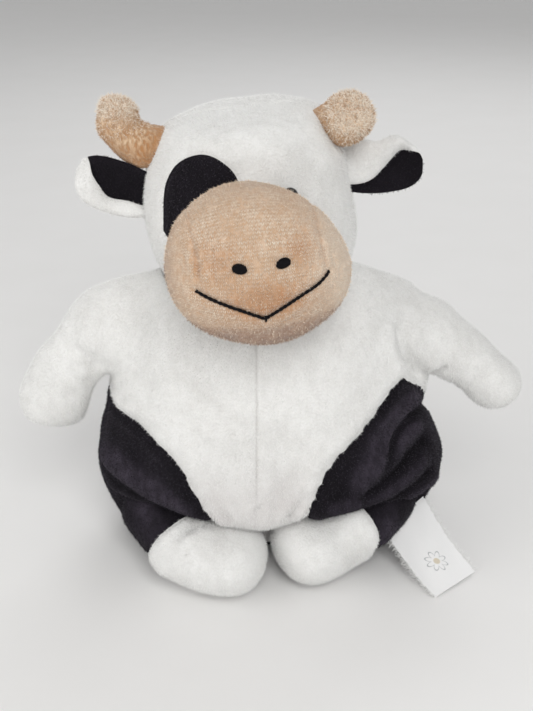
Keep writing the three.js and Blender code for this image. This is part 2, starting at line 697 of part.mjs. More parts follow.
/** A leg and its foot: one stuffed limb whose skin changes colour at the ankle's seam. */
function buildLeg(side) {
  const sign = sides[side];
  const group = new THREE.Group();
  const bend = legBendShares.map((shares) => sharePlace(hip[side], sign, shares, leg.length));
  const legForm = formAlong(new THREE.QuadraticBezierCurve3(...bend), legShares, leg.diameter, {
    wide: vec(0, 0, 1), sides: leg.sides, rings: leg.rings,
  });
  const turn = radians(foot.turn[side]);
  const toHeel = vec(sign * Math.cos(turn), Math.sin(turn), 0);
  const toe = vec(sign * foot.between[side], -foot.forward[side], foot.height / 2 - flatDepth);
  const heel = toe.clone().addScaledVector(toHeel, foot.length[side]);
  const footForm = formAlong(new THREE.LineCurve3(heel, toe), footShares, foot.width, {
    wide: vec(0, 1, 0), flatten: foot.height / foot.width, sides: foot.sides, rings: foot.rings,
  });
  const root = { pivot: hip[side], radius: leg.rootRadius };
  const { shell, filling } = limbLayers([legForm, footForm], root, vec(0, 0, sign), ranges.leg);
  const ankle = ankleShares[side];
  const seamPlace = heel.clone().lerp(toe, ankle.along).setZ(ankle.up * foot.height);
  const toFoot = vec(...ankle.toFoot).normalize();
  const past = (shift) => beyond(seamPlace.clone().addScaledVector(toFoot, shift), toFoot);
  group.add(piece(`leg_skin_${side}`, cut(shell, past(-seam / 2)), cloth(colours.black)));
  group.add(piece(`foot_skin_${side}`, shell.intersect(past(seam / 2)), cloth(colours.white)));
  group.add(piece(`leg_stuffing_${side}`, filling, cloth(colours.fibre)));
  return group;
}

/** A stuffed tail that hangs down the back, with a tuft round its end. */
function buildTail() {
  const group = new THREE.Group();
  const end = tailRoot.clone().add(vec(0, tail.out, -tail.length));
  const knee = tailRoot.clone().add(vec(0, tail.out + tail.diameter / 2, 0));
  const form = formAlong(new THREE.QuadraticBezierCurve3(tailRoot, knee, end), tailShares,
    tail.diameter, { wide: vec(1, 0, 0), sides: tail.sides, rings: tail.rings });
  const cutters = torsoSweep(tailRoot, vec(0, 1, 0), ranges.tail, 0);
  const tuftTop = end.clone().add(vec(0, 0, tail.diameter / 2));
  const tuftForm = formAlong(
    new THREE.LineCurve3(tuftTop, tuftTop.clone().add(vec(0, 0, -tail.tuftLength))), tuftShares,
    tail.tuftDiameter, { wide: vec(1, 0, 0), sides: tail.sides, rings: tail.tuftRings });
  const cord = cut(form.solid(), ...cutters).add(ball(tailRoot, tail.rootRadius));
  group.add(piece('tail_cord', cord, cloth(colours.white)));
  group.add(piece('tail_tuft', cut(tuftForm.solid(), form.solid(seam), ...cutters), cloth(colours.black)));
  return group;
}

/** The middles of the label's sewn edge and of its folded edge. */
const labelEnds = {
  root: vec(label.rootOut, -label.rootForward, label.rootHeight),
  tip: vec(label.tipOut, -label.tipForward, label.tipHeight),
};

/** The direction across the label, at a tilt from the floor. */
function labelAcross(tilt) {
  const [turn, rise] = [radians(label.turn), radians(tilt)];
  return vec(Math.cos(turn) * Math.cos(rise), Math.sin(turn) * Math.cos(rise), Math.sin(rise));
}

/** The sewn-in label: a folded ribbon that twists down to the floor beside the foot. */
function buildLabel() {
  const group = new THREE.Group();
  const along = new THREE.Vector3().subVectors(labelEnds.tip, labelEnds.root);
  const length = along.length() + label.tuck;
  const upper = [];
  for (let i = 0; i <= label.steps; i += 1) {
    const share = i / label.steps;
    upper.push(new THREE.Vector2(share * length - label.tuck, label.bow * Math.sin(Math.PI * share)));
  }
  const lower = upper.map((point) => new THREE.Vector2(point.x, point.y - label.thickness));
  const strip = new THREE.Shape([...lower, ...upper.reverse()]);
  const geometry = new THREE.ExtrudeGeometry(strip, { depth: label.width, bevelEnabled: false });
  geometry.translate(0, 0, -label.width / 2);
  along.normalize();
  const positions = geometry.attributes.position;
  for (let i = 0; i < positions.count; i += 1) {
    const corner = new THREE.Vector3().fromBufferAttribute(positions, i);
    const across = labelAcross(label.rootTilt * (1 - corner.x / length));
    const up = new THREE.Vector3().crossVectors(across, along).normalize();
    const place = labelEnds.root.clone().addScaledVector(along, corner.x)
      .addScaledVector(up, corner.y).addScaledVector(across, corner.z);
    positions.setXYZ(i, place.x, place.y, place.z);
  }
  const cutters = torsoSweep(labelEnds.root, labelAcross(label.rootTilt), ranges.label, 0);
  group.add(piece('care_label', cut(solidOf(geometry), ...cutters), cloth(colours.satin)));
  return group;
}

const model = new THREE.Group();
model.add(buildTorso(), buildHead());
for (const side of Object.keys(sides)) model.add(buildArm(side), buildLeg(side));
model.add(buildTail(), buildLabel());

export default model;
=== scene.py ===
"""A plush cow that sits: velour panels over a stuffed body, a knitted muzzle and horns, and a sewn-in label."""

import json
import logging
import math
from collections.abc import Callable, Mapping, Sequence
from dataclasses import dataclass, field
from enum import Enum

import bpy
import numpy as np
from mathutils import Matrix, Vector
from mathutils.bvhtree import BVHTree

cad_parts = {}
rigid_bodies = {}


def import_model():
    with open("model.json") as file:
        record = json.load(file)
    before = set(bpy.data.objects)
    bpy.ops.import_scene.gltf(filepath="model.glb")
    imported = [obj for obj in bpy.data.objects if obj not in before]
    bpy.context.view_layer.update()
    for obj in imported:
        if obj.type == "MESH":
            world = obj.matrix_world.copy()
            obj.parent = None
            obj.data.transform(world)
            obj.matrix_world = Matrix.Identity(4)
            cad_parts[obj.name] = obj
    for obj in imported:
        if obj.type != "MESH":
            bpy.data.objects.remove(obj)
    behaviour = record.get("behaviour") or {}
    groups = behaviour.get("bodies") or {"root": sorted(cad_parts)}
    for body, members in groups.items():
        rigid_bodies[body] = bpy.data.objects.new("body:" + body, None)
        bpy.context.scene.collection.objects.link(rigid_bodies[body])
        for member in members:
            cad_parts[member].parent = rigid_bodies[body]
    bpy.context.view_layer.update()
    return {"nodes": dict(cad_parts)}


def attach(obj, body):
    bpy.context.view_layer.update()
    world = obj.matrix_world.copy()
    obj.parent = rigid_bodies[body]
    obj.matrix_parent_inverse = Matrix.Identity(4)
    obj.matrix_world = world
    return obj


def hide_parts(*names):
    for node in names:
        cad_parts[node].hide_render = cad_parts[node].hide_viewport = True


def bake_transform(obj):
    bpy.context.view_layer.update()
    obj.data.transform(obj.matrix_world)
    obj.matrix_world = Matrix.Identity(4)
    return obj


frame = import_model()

log = logging.getLogger("plush_cow")

MM = 0.001
SKIN = 1.5
FLOOR_GAP = 0.35
Place = tuple[float, float, float]
Colour = tuple[float, float, float]
Pairs = Sequence[tuple[float, float]]


class Side(Enum):
    """The sides of the cow as the camera sees them: its value is the sign of x."""

    LEFT = -1
    RIGHT = 1

    @property
    def word(self) -> str:
        """The side as it stands in the names of nodes."""
        return self.name.lower()


def pair(left: object, right: object) -> Mapping:
    """A value for each side, as the default of a dataclass's field."""
    return field(default_factory=lambda: {Side.LEFT: left, Side.RIGHT: right})


def ramp(value: np.ndarray, low: float, high: float) -> np.ndarray:
    """A smooth rise.

    Args:
        value: The numbers to look at.
        low: Where the rise starts.
        high: Where it ends; below low, it falls instead.

    Returns:
        Numbers from 0 to 1.
    """
    share = np.clip((value - low) / (high - low), 0.0, 1.0)
    return share * share * (3.0 - 2.0 * share)


def bell(value: np.ndarray, width: float, middle: float = 0.0) -> np.ndarray:
    """A hump.

    Args:
        value: The numbers to look at.
        width: How far from the middle it has sunk to about a third.
        middle: Where it stands.

    Returns:
        Numbers from 0 to 1, and 1 at the middle.
    """
    return np.exp(-(((value - middle) / width) ** 2))


def unit(vectors: np.ndarray) -> np.ndarray:
    """The vectors at length one."""
    lengths = np.linalg.norm(vectors, axis=-1, keepdims=True)
    return vectors / np.maximum(lengths, 1e-9)


def spline(points: Sequence[Sequence[float]], count: int) -> np.ndarray:
    """A Catmull-Rom curve through points.

    Args:
        points: The points that it passes.
        count: How many places to give.

    Returns:
        Places along the curve, evenly spaced in length.
    """
    known = np.asarray(points, float)
    last = len(known) - 1
    at = np.linspace(0, last, count * 8)
    index = np.minimum(at.astype(int), last - 1)
    share = (at - index)[:, None]
    before, start = known[np.maximum(index - 1, 0)], known[index]
    end, after = known[index + 1], known[np.minimum(index + 2, last)]
    slope, next_slope = (end - before) / 2, (after - start) / 2
    curve = ((2 * start - 2 * end + slope + next_slope) * share**3
             + (3 * end - 3 * start - 2 * slope - next_slope) * share**2 + slope * share + start)
    return evenly(curve, count)


def travelled(path: np.ndarray) -> np.ndarray:
    """How far along a path each of its points lies."""
    return np.concatenate([[0.0], np.cumsum(np.linalg.norm(np.diff(path, axis=0), axis=1))])


def read(curve: np.ndarray, along: np.ndarray, at: np.ndarray) -> np.ndarray:
    """A curve's values at some lengths, from the lengths at which its points lie."""
    return np.stack([np.interp(at, along, column) for column in curve.T], -1)


def evenly(curve: np.ndarray, count: int) -> np.ndarray:
    """Places spaced evenly along a curve of many points."""
    along = travelled(curve)
    return read(curve, along, np.linspace(0, along[-1], count))


def bend(start: Sequence[float], middle: Sequence[float], end: Sequence[float]) -> np.ndarray:
    """A quadratic curve as many points."""
    share = np.linspace(0, 1, 200)[:, None]
    first, second, third = (np.asarray(place, float) for place in (start, middle, end))
    return (1 - share) ** 2 * first + 2 * share * (1 - share) * second + share**2 * third


def lumps(points: np.ndarray, size: float, seed: int) -> np.ndarray:
    """Smooth unevenness over space, as of filling behind cloth.

    Args:
        points: Places in millimetres.
        size: How wide a lump is.
        seed: Picks the pattern.

    Returns:
        A number from about -1 to 1 for each place.
    """
    rng = np.random.default_rng(seed)
    total = np.zeros(len(points))
    for _ in range(7):
        wave = rng.normal(size=3)
        wave *= 2 * math.pi / (size * rng.uniform(1.4, 2.6) * np.linalg.norm(wave))
        total += np.sin(points @ wave + rng.uniform(0, 2 * math.pi))
    return total / 3.2


def in_scene(name: str, data: bpy.types.ID) -> bpy.types.Object:
    """A new object of some data, linked to the scene."""
    made = bpy.data.objects.new(name, data)
    bpy.context.scene.collection.objects.link(made)
    return made


@dataclass
class Surface:
    """Triangles in millimetres, with named numbers kept for each point.

    Attributes:
        points: Places of the points.
        faces: The three points of each face, counter-clockwise from outside.
        marks: Numbers that follow the points through cuts, by name.
    """

    points: np.ndarray
    faces: np.ndarray
    marks: dict[str, np.ndarray] = field(default_factory=dict)

    def copy(self) -> "Surface":
        """The same surface in arrays of its own."""
        return Surface(self.points.copy(), self.faces.copy(),
                       {name: mark.copy() for name, mark in self.marks.items()})

    def normals(self) -> np.ndarray:
        """The outward direction at each point."""
        a, b, c = (self.points[self.faces[:, i]] for i in range(3))
        cross = np.cross(b - a, c - a)
        total = np.zeros_like(self.points)
        for corner in range(3):
            for axis in range(3):
                total[:, axis] += np.bincount(self.faces[:, corner], cross[:, axis], len(total))
        return unit(total)

    def borders(self) -> np.ndarray:
        """The three sides of every face, each from one point to the next."""
        return np.concatenate([self.faces[:, [0, 1]], self.faces[:, [1, 2]], self.faces[:, [2, 0]]])

    def edges(self) -> np.ndarray:
        """Each edge once, as its two points."""
        return np.unique(np.sort(self.borders(), axis=1), axis=0)

    def relax(self, rounds: int, weight: np.ndarray | float = 1.0, mark: str | None = None) -> None:
        """Evens out the points, or one of the marks, with their neighbours.

        Args:
            rounds: How many times.
            weight: How strongly at each point, from 0 to 1.
            mark: The mark to even out instead of the places.
        """
        edges = self.edges()
        count = len(self.points)
        ends = np.concatenate([edges[:, 0], edges[:, 1]])
        others = np.concatenate([edges[:, 1], edges[:, 0]])
        near = np.maximum(np.bincount(ends, minlength=count), 1)
        values = self.points if mark is None else self.marks[mark][:, None]
        strength = np.broadcast_to(np.asarray(weight, float), (count,))[:, None] * 0.6
        for _ in range(rounds):
            mean = np.stack([np.bincount(ends, column[others], count) / near for column in values.T], -1)
            values = values + (mean - values) * strength
        if mark is None:
            self.points = values
        else:
            self.marks[mark] = values[:, 0]

    def push(self, amount: np.ndarray | float) -> None:
        """Moves the points outwards by an amount each."""
        self.points = self.points + self.normals() * np.broadcast_to(amount, (len(self.points),))[:, None]

    def cut(self, level: np.ndarray) -> tuple["Surface", "Surface"]:
        """Splits the surface where a number at its points passes zero.

        Args:
            level: The number at each point.

        Returns:
            The parts where it is positive and where it is negative.
        """
        points, level = self.points.copy(), level.copy()
        edges = self.edges()
        first, second = edges.T
        crossing = level[first] * level[second] < 0
        share = np.where(crossing, level[first] / np.where(crossing, level[first] - level[second], 1), 0.5)
        for near, far, part in ((first, second, share), (second, first, 1 - share)):
            close = crossing & (part < 0.2)
            points[near[close]] += part[close, None] * (self.points[far[close]] - self.points[near[close]])
            level[near[close]] = 0
        crossing = level[first] * level[second] < 0
        first, second = first[crossing], second[crossing]
        share = (level[first] / (level[first] - level[second]))[:, None]
        middles = points[first] * (1 - share) + points[second] * share
        marks = {name: np.concatenate([mark, mark[first] * (1 - share[:, 0]) + mark[second] * share[:, 0]])
                 for name, mark in self.marks.items()}
        count = len(points)
        keys = first.astype(np.int64) * count + second
        order = np.argsort(keys)

        def middle_of(a: np.ndarray, b: np.ndarray) -> np.ndarray:
            """The new point on each edge from a to b."""
            key = np.minimum(a, b).astype(np.int64) * count + np.maximum(a, b)
            return count + order[np.searchsorted(keys[order], key)]

        sign = np.sign(level).astype(int)
        corners = sign[self.faces]
        has = (corners.max(1) > 0) & (corners.min(1) < 0)
        whole = self.faces[~has]
        made = [whole]
        above = [corners[~has].sum(1) >= 0]
        mixed, signs = self.faces[has], corners[has]
        zeros = (signs == 0).sum(1)
        lone = np.where(zeros == 1, np.argmax(signs == 0, axis=1),
                        np.argmax(signs == -np.sign(signs.sum(1))[:, None], axis=1))
        turned = np.stack([np.take_along_axis(mixed, ((lone + i) % 3)[:, None], 1)[:, 0] for i in range(3)], 1)
        one = turned[zeros == 1]
        if len(one):
            new = middle_of(one[:, 1], one[:, 2])
            made += [np.stack([one[:, 0], one[:, 1], new], 1), np.stack([one[:, 0], new, one[:, 2]], 1)]
            above += [sign[one[:, 1]] > 0, sign[one[:, 2]] > 0]
        two = turned[zeros == 0]
        if len(two):
            left, right = middle_of(two[:, 0], two[:, 1]), middle_of(two[:, 0], two[:, 2])
            made += [np.stack([two[:, 0], left, right], 1), np.stack([left, two[:, 1], right], 1),
                     np.stack([two[:, 1], two[:, 2], right], 1)]
            above += [sign[two[:, 0]] > 0, sign[two[:, 1]] > 0, sign[two[:, 1]] > 0]
        result = Surface(np.concatenate([points, middles]), np.concatenate(made), marks)
        mask = np.concatenate(above)
        return result.kept(mask), result.kept(~mask)

    def kept(self, mask: np.ndarray) -> "Surface":
        """The faces that a mask picks, with the points that they use."""
        faces = self.faces[mask]
        used, inverse = np.unique(faces, return_inverse=True)
        marks = {name: mark[used] for name, mark in self.marks.items()}
        return Surface(self.points[used], inverse.reshape(faces.shape), marks)

    def shell(self, thickness: float = SKIN) -> "Surface":
        """The surface as a closed skin of a thickness, which lies inwards."""
        directed = self.borders()
        _, inverse, counts = np.unique(np.sort(directed, axis=1), axis=0, return_inverse=True, return_counts=True)
        rim = directed[counts[inverse.reshape(-1)] == 1]
        count = len(self.points)
        inner = self.points - self.normals() * thickness
        faces = [self.faces, self.faces[:, ::-1] + count]
        if len(rim):
            a, b = rim.T
            faces += [np.stack([a, a + count, b], 1), np.stack([b, a + count, b + count], 1)]
        marks = {name: np.concatenate([mark, mark]) for name, mark in self.marks.items()}
        return Surface(np.concatenate([self.points, inner]), np.concatenate(faces), marks)

    def tree(self) -> BVHTree:
        """The surface as a tree for finding what is nearest."""
        return BVHTree.FromPolygons(self.points.tolist(), self.faces.tolist())

    def halves(self, middle: float = 0.0) -> tuple[tuple[Side, "Surface"], tuple[Side, "Surface"]]:
        """The parts to the right and to the left of a plane."""
        right, left = self.cut(self.points[:, 0] - middle)
        return (Side.RIGHT, right), (Side.LEFT, left)

    def outside(self, other: "Surface", tuck: float) -> "Surface":
        """What lies outside another surface, and a little of what is tucked into it."""
        return self.cut(distances(self.points, other) + tuck)[0]

    def lift_to(self, height: float) -> None:
        """Raises the points that lie below a height."""
        self.points[:, 2] = np.maximum(self.points[:, 2], height)

    def to_object(self, name: str) -> bpy.types.Object:
        """A Blender object of the surface, in metres, smooth but for its rims."""
        mesh = bpy.data.meshes.new(name)
        mesh.vertices.add(len(self.points))
        mesh.vertices.foreach_set("co", (self.points * MM).astype(np.float32).ravel())
        mesh.loops.add(self.faces.size)
        mesh.loops.foreach_set("vertex_index", self.faces.astype(np.int32).ravel())
        mesh.polygons.add(len(self.faces))
        mesh.polygons.foreach_set("loop_start", np.arange(0, self.faces.size, 3, dtype=np.int32))
        mesh.update(calc_edges=True)
        mesh.shade_smooth()
        mesh.set_sharp_from_angle(angle=math.radians(60))
        for mark, values in self.marks.items():
            mesh.attributes.new(mark, "FLOAT", "POINT").data.foreach_set("value", values.astype(np.float32))
        return in_scene(name, mesh)


def joined(surfaces: Sequence[Surface]) -> Surface:
    """Several surfaces as one, side by side."""
    starts = np.cumsum([0] + [len(surface.points) for surface in surfaces[:-1]])
    faces = np.concatenate([surface.faces + start for surface, start in zip(surfaces, starts)])
    return Surface(np.concatenate([surface.points for surface in surfaces]), faces)


def quads(a: np.ndarray, b: np.ndarray, c: np.ndarray, d: np.ndarray) -> np.ndarray:
    """Two triangles for every four corners."""
    return np.concatenate([np.stack(corners, -1).reshape(-1, 3) for corners in ((a, b, c), (a, c, d))])


def rings(centre: np.ndarray, radius: np.ndarray, wide: np.ndarray, thin: np.ndarray, sides: int,
          flatten: float = 1.0) -> np.ndarray:
    """Rings of points round the places of a path.

    Args:
        centre: The places.
        radius: Each ring's radius.
        wide: Each ring's first direction.
        thin: Its second direction.
        sides: Points in a ring.
        flatten: The radius in the second direction over that in the first.

    Returns:
        A grid of points, ring by ring.
    """
    angle = np.linspace(0, 2 * math.pi, sides, endpoint=False)[None, :, None]
    return centre[:, None] + radius[:, None, None] * (
        np.cos(angle) * wide[:, None] + flatten * np.sin(angle) * thin[:, None])


def grid_surface(grid: np.ndarray) -> Surface:
    """A closed surface from rings of points, whose first and last rings are poles."""
    count, sides = grid.shape[:2]
    inner = grid[1:-1].reshape(-1, 3)
    points = np.concatenate([inner, grid[:1, 0], grid[-1:, 0]])
    index = np.arange((count - 2) * sides).reshape(count - 2, sides)
    a, b = index[:-1], np.roll(index[:-1], -1, axis=1)
    c, d = np.roll(index[1:], -1, axis=1), index[1:]
    walls = quads(a, b, c, d)
    low, high = len(inner), len(inner) + 1
    first, last = index[0], index[-1]
    caps = np.concatenate([
        np.stack([np.full(sides, low), np.roll(first, -1), first], -1),
        np.stack([last, np.roll(last, -1), np.full(sides, high)], -1),
    ])
    surface = Surface(points, np.concatenate([walls, caps]))
    a, b, c = (surface.points[surface.faces[:, i]] - points.mean(0) for i in range(3))
    if np.einsum("ij,ij->i", a, np.cross(b, c)).sum() < 0:
        surface.faces = surface.faces[:, ::-1].copy()
    return surface


@dataclass
class SoftForm:
    """A stuffed form round a path.

    Attributes:
        path: Points along its axis.
        shares: Radius and distance along, as shares of the half width and the path's length.
        half_width: Its largest radius.
        wide: The direction in which it is widest.
        flatten: Thickness over width.
        shape: A change to the points, made last.
    """

    path: np.ndarray
    shares: Sequence[Sequence[float]]
    half_width: float
    wide: Place = (1.0, 0.0, 0.0)
    flatten: float = 1.0
    shape: Callable[[np.ndarray], np.ndarray] | None = None

    def surface(self, sides: int, rings_along: int, inset: float = 0.0) -> Surface:
        """The form's surface.

        Args:
            sides: Points round it.
            rings_along: Steps along it.
            inset: How far it lies inside the form's true surface.

        Returns:
            A closed surface.
        """
        along = travelled(self.path)
        outline = spline(np.asarray(self.shares) * [self.half_width, along[-1]], rings_along + 1)
        radius = np.maximum(outline[:, 0], 0.0)
        radius[[0, -1]] = 0.0
        at = np.clip(outline[:, 1], 0, along[-1])
        tangent = unit(read(unit(np.gradient(self.path, along, axis=0)), along, at))
        centre = read(self.path, along, at) + tangent * (outline[:, 1] - at)[:, None]
        thin = unit(np.cross(tangent, self.wide))
        grid = rings(centre, radius, unit(np.cross(thin, tangent)), thin, sides, self.flatten)
        surface = grid_surface(grid if self.shape is None else self.shape(grid))
        if inset:
            surface.push(-inset)
        return surface


def voxel_union(surfaces: Sequence[Surface], size: float) -> Surface:
    """Closed surfaces grown into one even skin.

    Args:
        surfaces: The surfaces, which may cross each other.
        size: The distance between points of the result.

    Returns:
        One surface of triangles.
    """
    raw = joined(surfaces).to_object("raw_union")
    remesh = raw.modifiers.new("Remesh", "REMESH")
    remesh.mode = "VOXEL"
    remesh.voxel_size = size * MM
    graph = bpy.context.evaluated_depsgraph_get()
    mesh = bpy.data.meshes.new_from_object(raw.evaluated_get(graph))
    bpy.data.objects.remove(raw)
    mesh.calc_loop_triangles()
    points = np.empty(len(mesh.vertices) * 3, np.float32)
    mesh.vertices.foreach_get("co", points)
    faces = np.empty(len(mesh.loop_triangles) * 3, np.int32)
    mesh.loop_triangles.foreach_get("vertices", faces)
    bpy.data.meshes.remove(mesh)
    return Surface(points.reshape(-1, 3).astype(float) / MM, faces.reshape(-1, 3).astype(int))


@dataclass(frozen=True)
class Line:
    """A line over a surface, as places in millimetres."""

    places: Sequence[Place]

    def nearest(self, points: np.ndarray) -> tuple[np.ndarray, np.ndarray, np.ndarray]:
        """What part of the line is nearest to each point.

        Returns:
            The distances, the nearest places, and how far along the line they are.
        """
        curve = spline(self.places, 6 * len(self.places))
        best = np.full(len(points), np.inf)
        place = np.zeros_like(points)
        reach = np.zeros(len(points))
        start = 0.0
        for first, second in zip(curve[:-1], curve[1:]):
            step = second - first
            length = float(np.linalg.norm(step))
            share = np.clip(((points - first) @ step) / length**2, 0, 1)
            near = first + share[:, None] * step
            distance = np.linalg.norm(points - near, axis=1)
            closer = distance < best
            best[closer], place[closer] = distance[closer], near[closer]
            reach[closer] = start + share[closer] * length
            start += length
        return best, place, reach

    def weight(self, reach: np.ndarray, fade: float) -> np.ndarray:
        """How much of a shape shows along the line, whose ends fade out over a length."""
        curve = spline(self.places, 6 * len(self.places))
        length = float(np.linalg.norm(np.diff(curve, axis=0), axis=1).sum())
        return ramp(reach, 0, fade) * ramp(length - reach, 0, fade)


@dataclass(frozen=True)
class Crease(Line):
    """A dent along a line, with cloth that swells beside it.

    Attributes:
        depth: How deep it is.
        width: Half its width.
        swell: How far the cloth stands out beside it.
        fade: The length over which its ends fade out.
    """

    depth: float
    width: float
    swell: float
    fade: float = 4.0

    def push(self, surface: Surface) -> None:
        """Presses the crease into a surface."""
        distance, _, reach = self.nearest(surface.points)
        beside = bell(distance, 1.4 * self.width, 2.4 * self.width)
        dent = bell(distance, self.width)
        surface.push((self.swell * beside - self.depth * dent) * self.weight(reach, self.fade))


@dataclass(frozen=True)
class Fold(Line):
    """Cloth that hangs over itself along a line, which is the fold's lower edge.

    Attributes:
        up: The side on which the cloth swells.
        swell: How far it stands out above the edge.
        dip: How deep it lies below the edge.
        width: Half the width of the swelling.
        fade: The length over which its ends fade out.
    """

    up: Place
    swell: float
    dip: float
    width: float
    fade: float = 8.0

    def push(self, surface: Surface) -> None:
        """Sculpts the fold into a surface, and marks where a highlight is painted above its edge and shade below
        it.
        """
        distance, place, reach = self.nearest(surface.points)
        across = distance * np.sign((surface.points - place) @ np.asarray(self.up))
        fade = self.weight(reach, self.fade)
        above = bell(across, self.width, self.width)
        below = bell(across, 0.55 * self.width, -0.55 * self.width)
        surface.push((self.swell * above - self.dip * below) * fade)
        before = surface.marks.get("ridge", np.zeros(len(surface.points)))
        surface.marks["ridge"] = np.clip(before + (0.9 * above - 1.2 * below) * fade, -1, 1)


def distances(points: np.ndarray, surface: Surface) -> np.ndarray:
    """How far each point lies outside a closed surface; inside, the number is negative."""
    tree = surface.tree()
    found = np.empty(len(points))
    for i, point in enumerate(points.tolist()):
        place, normal, _, distance = tree.find_nearest(point)
        out = (Vector(point) - place).dot(normal)
        found[i] = math.copysign(distance, out)
    return found


def tube(path: np.ndarray, radius: float | np.ndarray, sides: int = 6) -> Surface:
    """A closed tube round a path."""
    tangent = unit(np.gradient(path, axis=0))
    side = unit(np.cross(tangent, np.where(np.abs(tangent[:, 2:]) > 0.9, [[1.0, 0, 0]], [[0, 0, 1.0]])))
    for i in range(1, len(side)):
        if side[i] @ side[i - 1] < 0:
            side[i] = -side[i]
    grid = rings(path, np.broadcast_to(radius, (len(path),)), side, np.cross(tangent, side), sides)
    ends = [np.repeat(path[i][None, None], sides, axis=1) for i in (0, -1)]
    return grid_surface(np.concatenate([ends[0], grid, ends[1]]))


class Nodes:
    """A tree of nodes."""

    def __init__(self, tree: bpy.types.NodeTree) -> None:
        """Starts from a tree."""
        self.tree = tree

    def node(self, kind: str, settings: Mapping | None = None, inputs: Mapping | None = None) -> bpy.types.Node:
        """A new node.

        Args:
            kind: Its type.
            settings: Properties that are set first.
            inputs: Values or links of its sockets, by name or number.

        Returns:
            The node.
        """
        node = self.tree.nodes.new(kind)
        for name, value in (settings or {}).items():
            setattr(node, name, value)
        for key, value in (inputs or {}).items():
            source = value.socket if isinstance(value, Number) else value
            if isinstance(source, bpy.types.NodeSocket):
                self.tree.links.new(source, node.inputs[key])
            else:
                node.inputs[key].default_value = source
        return node


class Number:
    """A socket of numbers that Python's operators work on."""

    def __init__(self, graph: Nodes, socket: bpy.types.NodeSocket) -> None:
        """Wraps a socket of a graph."""
        self.graph = graph
        self.socket = socket

    def apply(self, operation: str, other: "Number | float" = 0.0, swapped: bool = False) -> "Number":
        """A Math node on this number, and on another where it takes two."""
        values = [other, self] if swapped else [self, other]
        node = self.graph.node("ShaderNodeMath", {"operation": operation}, dict(enumerate(values)))
        return Number(self.graph, node.outputs[0])

    def __add__(self, other: "Number | float") -> "Number":
        """This plus another."""
        return self.apply("ADD", other)

    __radd__ = __add__

    def __sub__(self, other: "Number | float") -> "Number":
        """This less another."""
        return self.apply("SUBTRACT", other)

    def __rsub__(self, other: "Number | float") -> "Number":
        """Another less this."""
        return self.apply("SUBTRACT", other, swapped=True)

    def __mul__(self, other: "Number | float") -> "Number":
        """This times another."""
        return self.apply("MULTIPLY", other)

    __rmul__ = __mul__

    def rising(self, low: float, high: float) -> "Number":
        """A smooth rise from 0 at low to 1 at high."""
        node = self.graph.node("ShaderNodeMapRange", {"interpolation_type": "SMOOTHSTEP"},
                               {"Value": self, "From Min": low, "From Max": high})
        return Number(self.graph, node.outputs[0])


class Graph(Nodes):
    """The nodes of one material round its Principled shader."""

    def __init__(self, name: str, roughness: float = 0.95) -> None:
        """Starts a material of a name and a roughness."""
        self.material = bpy.data.materials.new(name)
        self.material.use_nodes = True
        super().__init__(self.material.node_tree)
        self.shader = self.tree.nodes["Principled BSDF"]
        self.set({"Roughness": roughness})
        self.place = self.node("ShaderNodeTexCoord").outputs["Object"]

    def noise(self, size: float, detail: float = 2.0, stretch: Place = (1.0, 1.0, 1.0)) -> Number:
        """Noise whose patches are about a size in millimetres across."""
        place = self.node("ShaderNodeMapping", None, {"Vector": self.place, "Scale": stretch}).outputs[0]
        node = self.node("ShaderNodeTexNoise", None,
                         {"Vector": place, "Scale": 1 / (size * MM), "Detail": detail})
        return Number(self, node.outputs[0])

    def mark(self, name: str) -> Number:
        """A number that the mesh keeps for each point."""
        return Number(self, self.node("ShaderNodeAttribute", {"attribute_name": name}).outputs["Fac"])

    def mixed(self, share: Number, first: "Colour | bpy.types.NodeSocket",
              second: "Colour | bpy.types.NodeSocket") -> bpy.types.NodeSocket:
        """A colour between two."""
        colours = [(*c, 1.0) if isinstance(c, tuple) else c for c in (first, second)]
        node = self.node("ShaderNodeMix", {"data_type": "RGBA"}, {0: share, 6: colours[0], 7: colours[1]})
        return node.outputs[2]

    def colour(self, colour: bpy.types.NodeSocket) -> None:
        """Links the base colour."""
        self.tree.links.new(colour, self.shader.inputs["Base Color"])

    def bump(self, height: Number, distance: float, strength: float = 1.0) -> None:
        """Raises the surface by a height of up to a distance in millimetres."""
        node = self.node("ShaderNodeBump", None,
                         {"Height": height, "Distance": distance * MM, "Strength": strength})
        self.tree.links.new(node.outputs[0], self.shader.inputs["Normal"])

    def set(self, values: Mapping[str, object]) -> None:
        """Sets sockets of the shader that are the same all over."""
        for name, value in values.items():
            self.shader.inputs[name].default_value = value


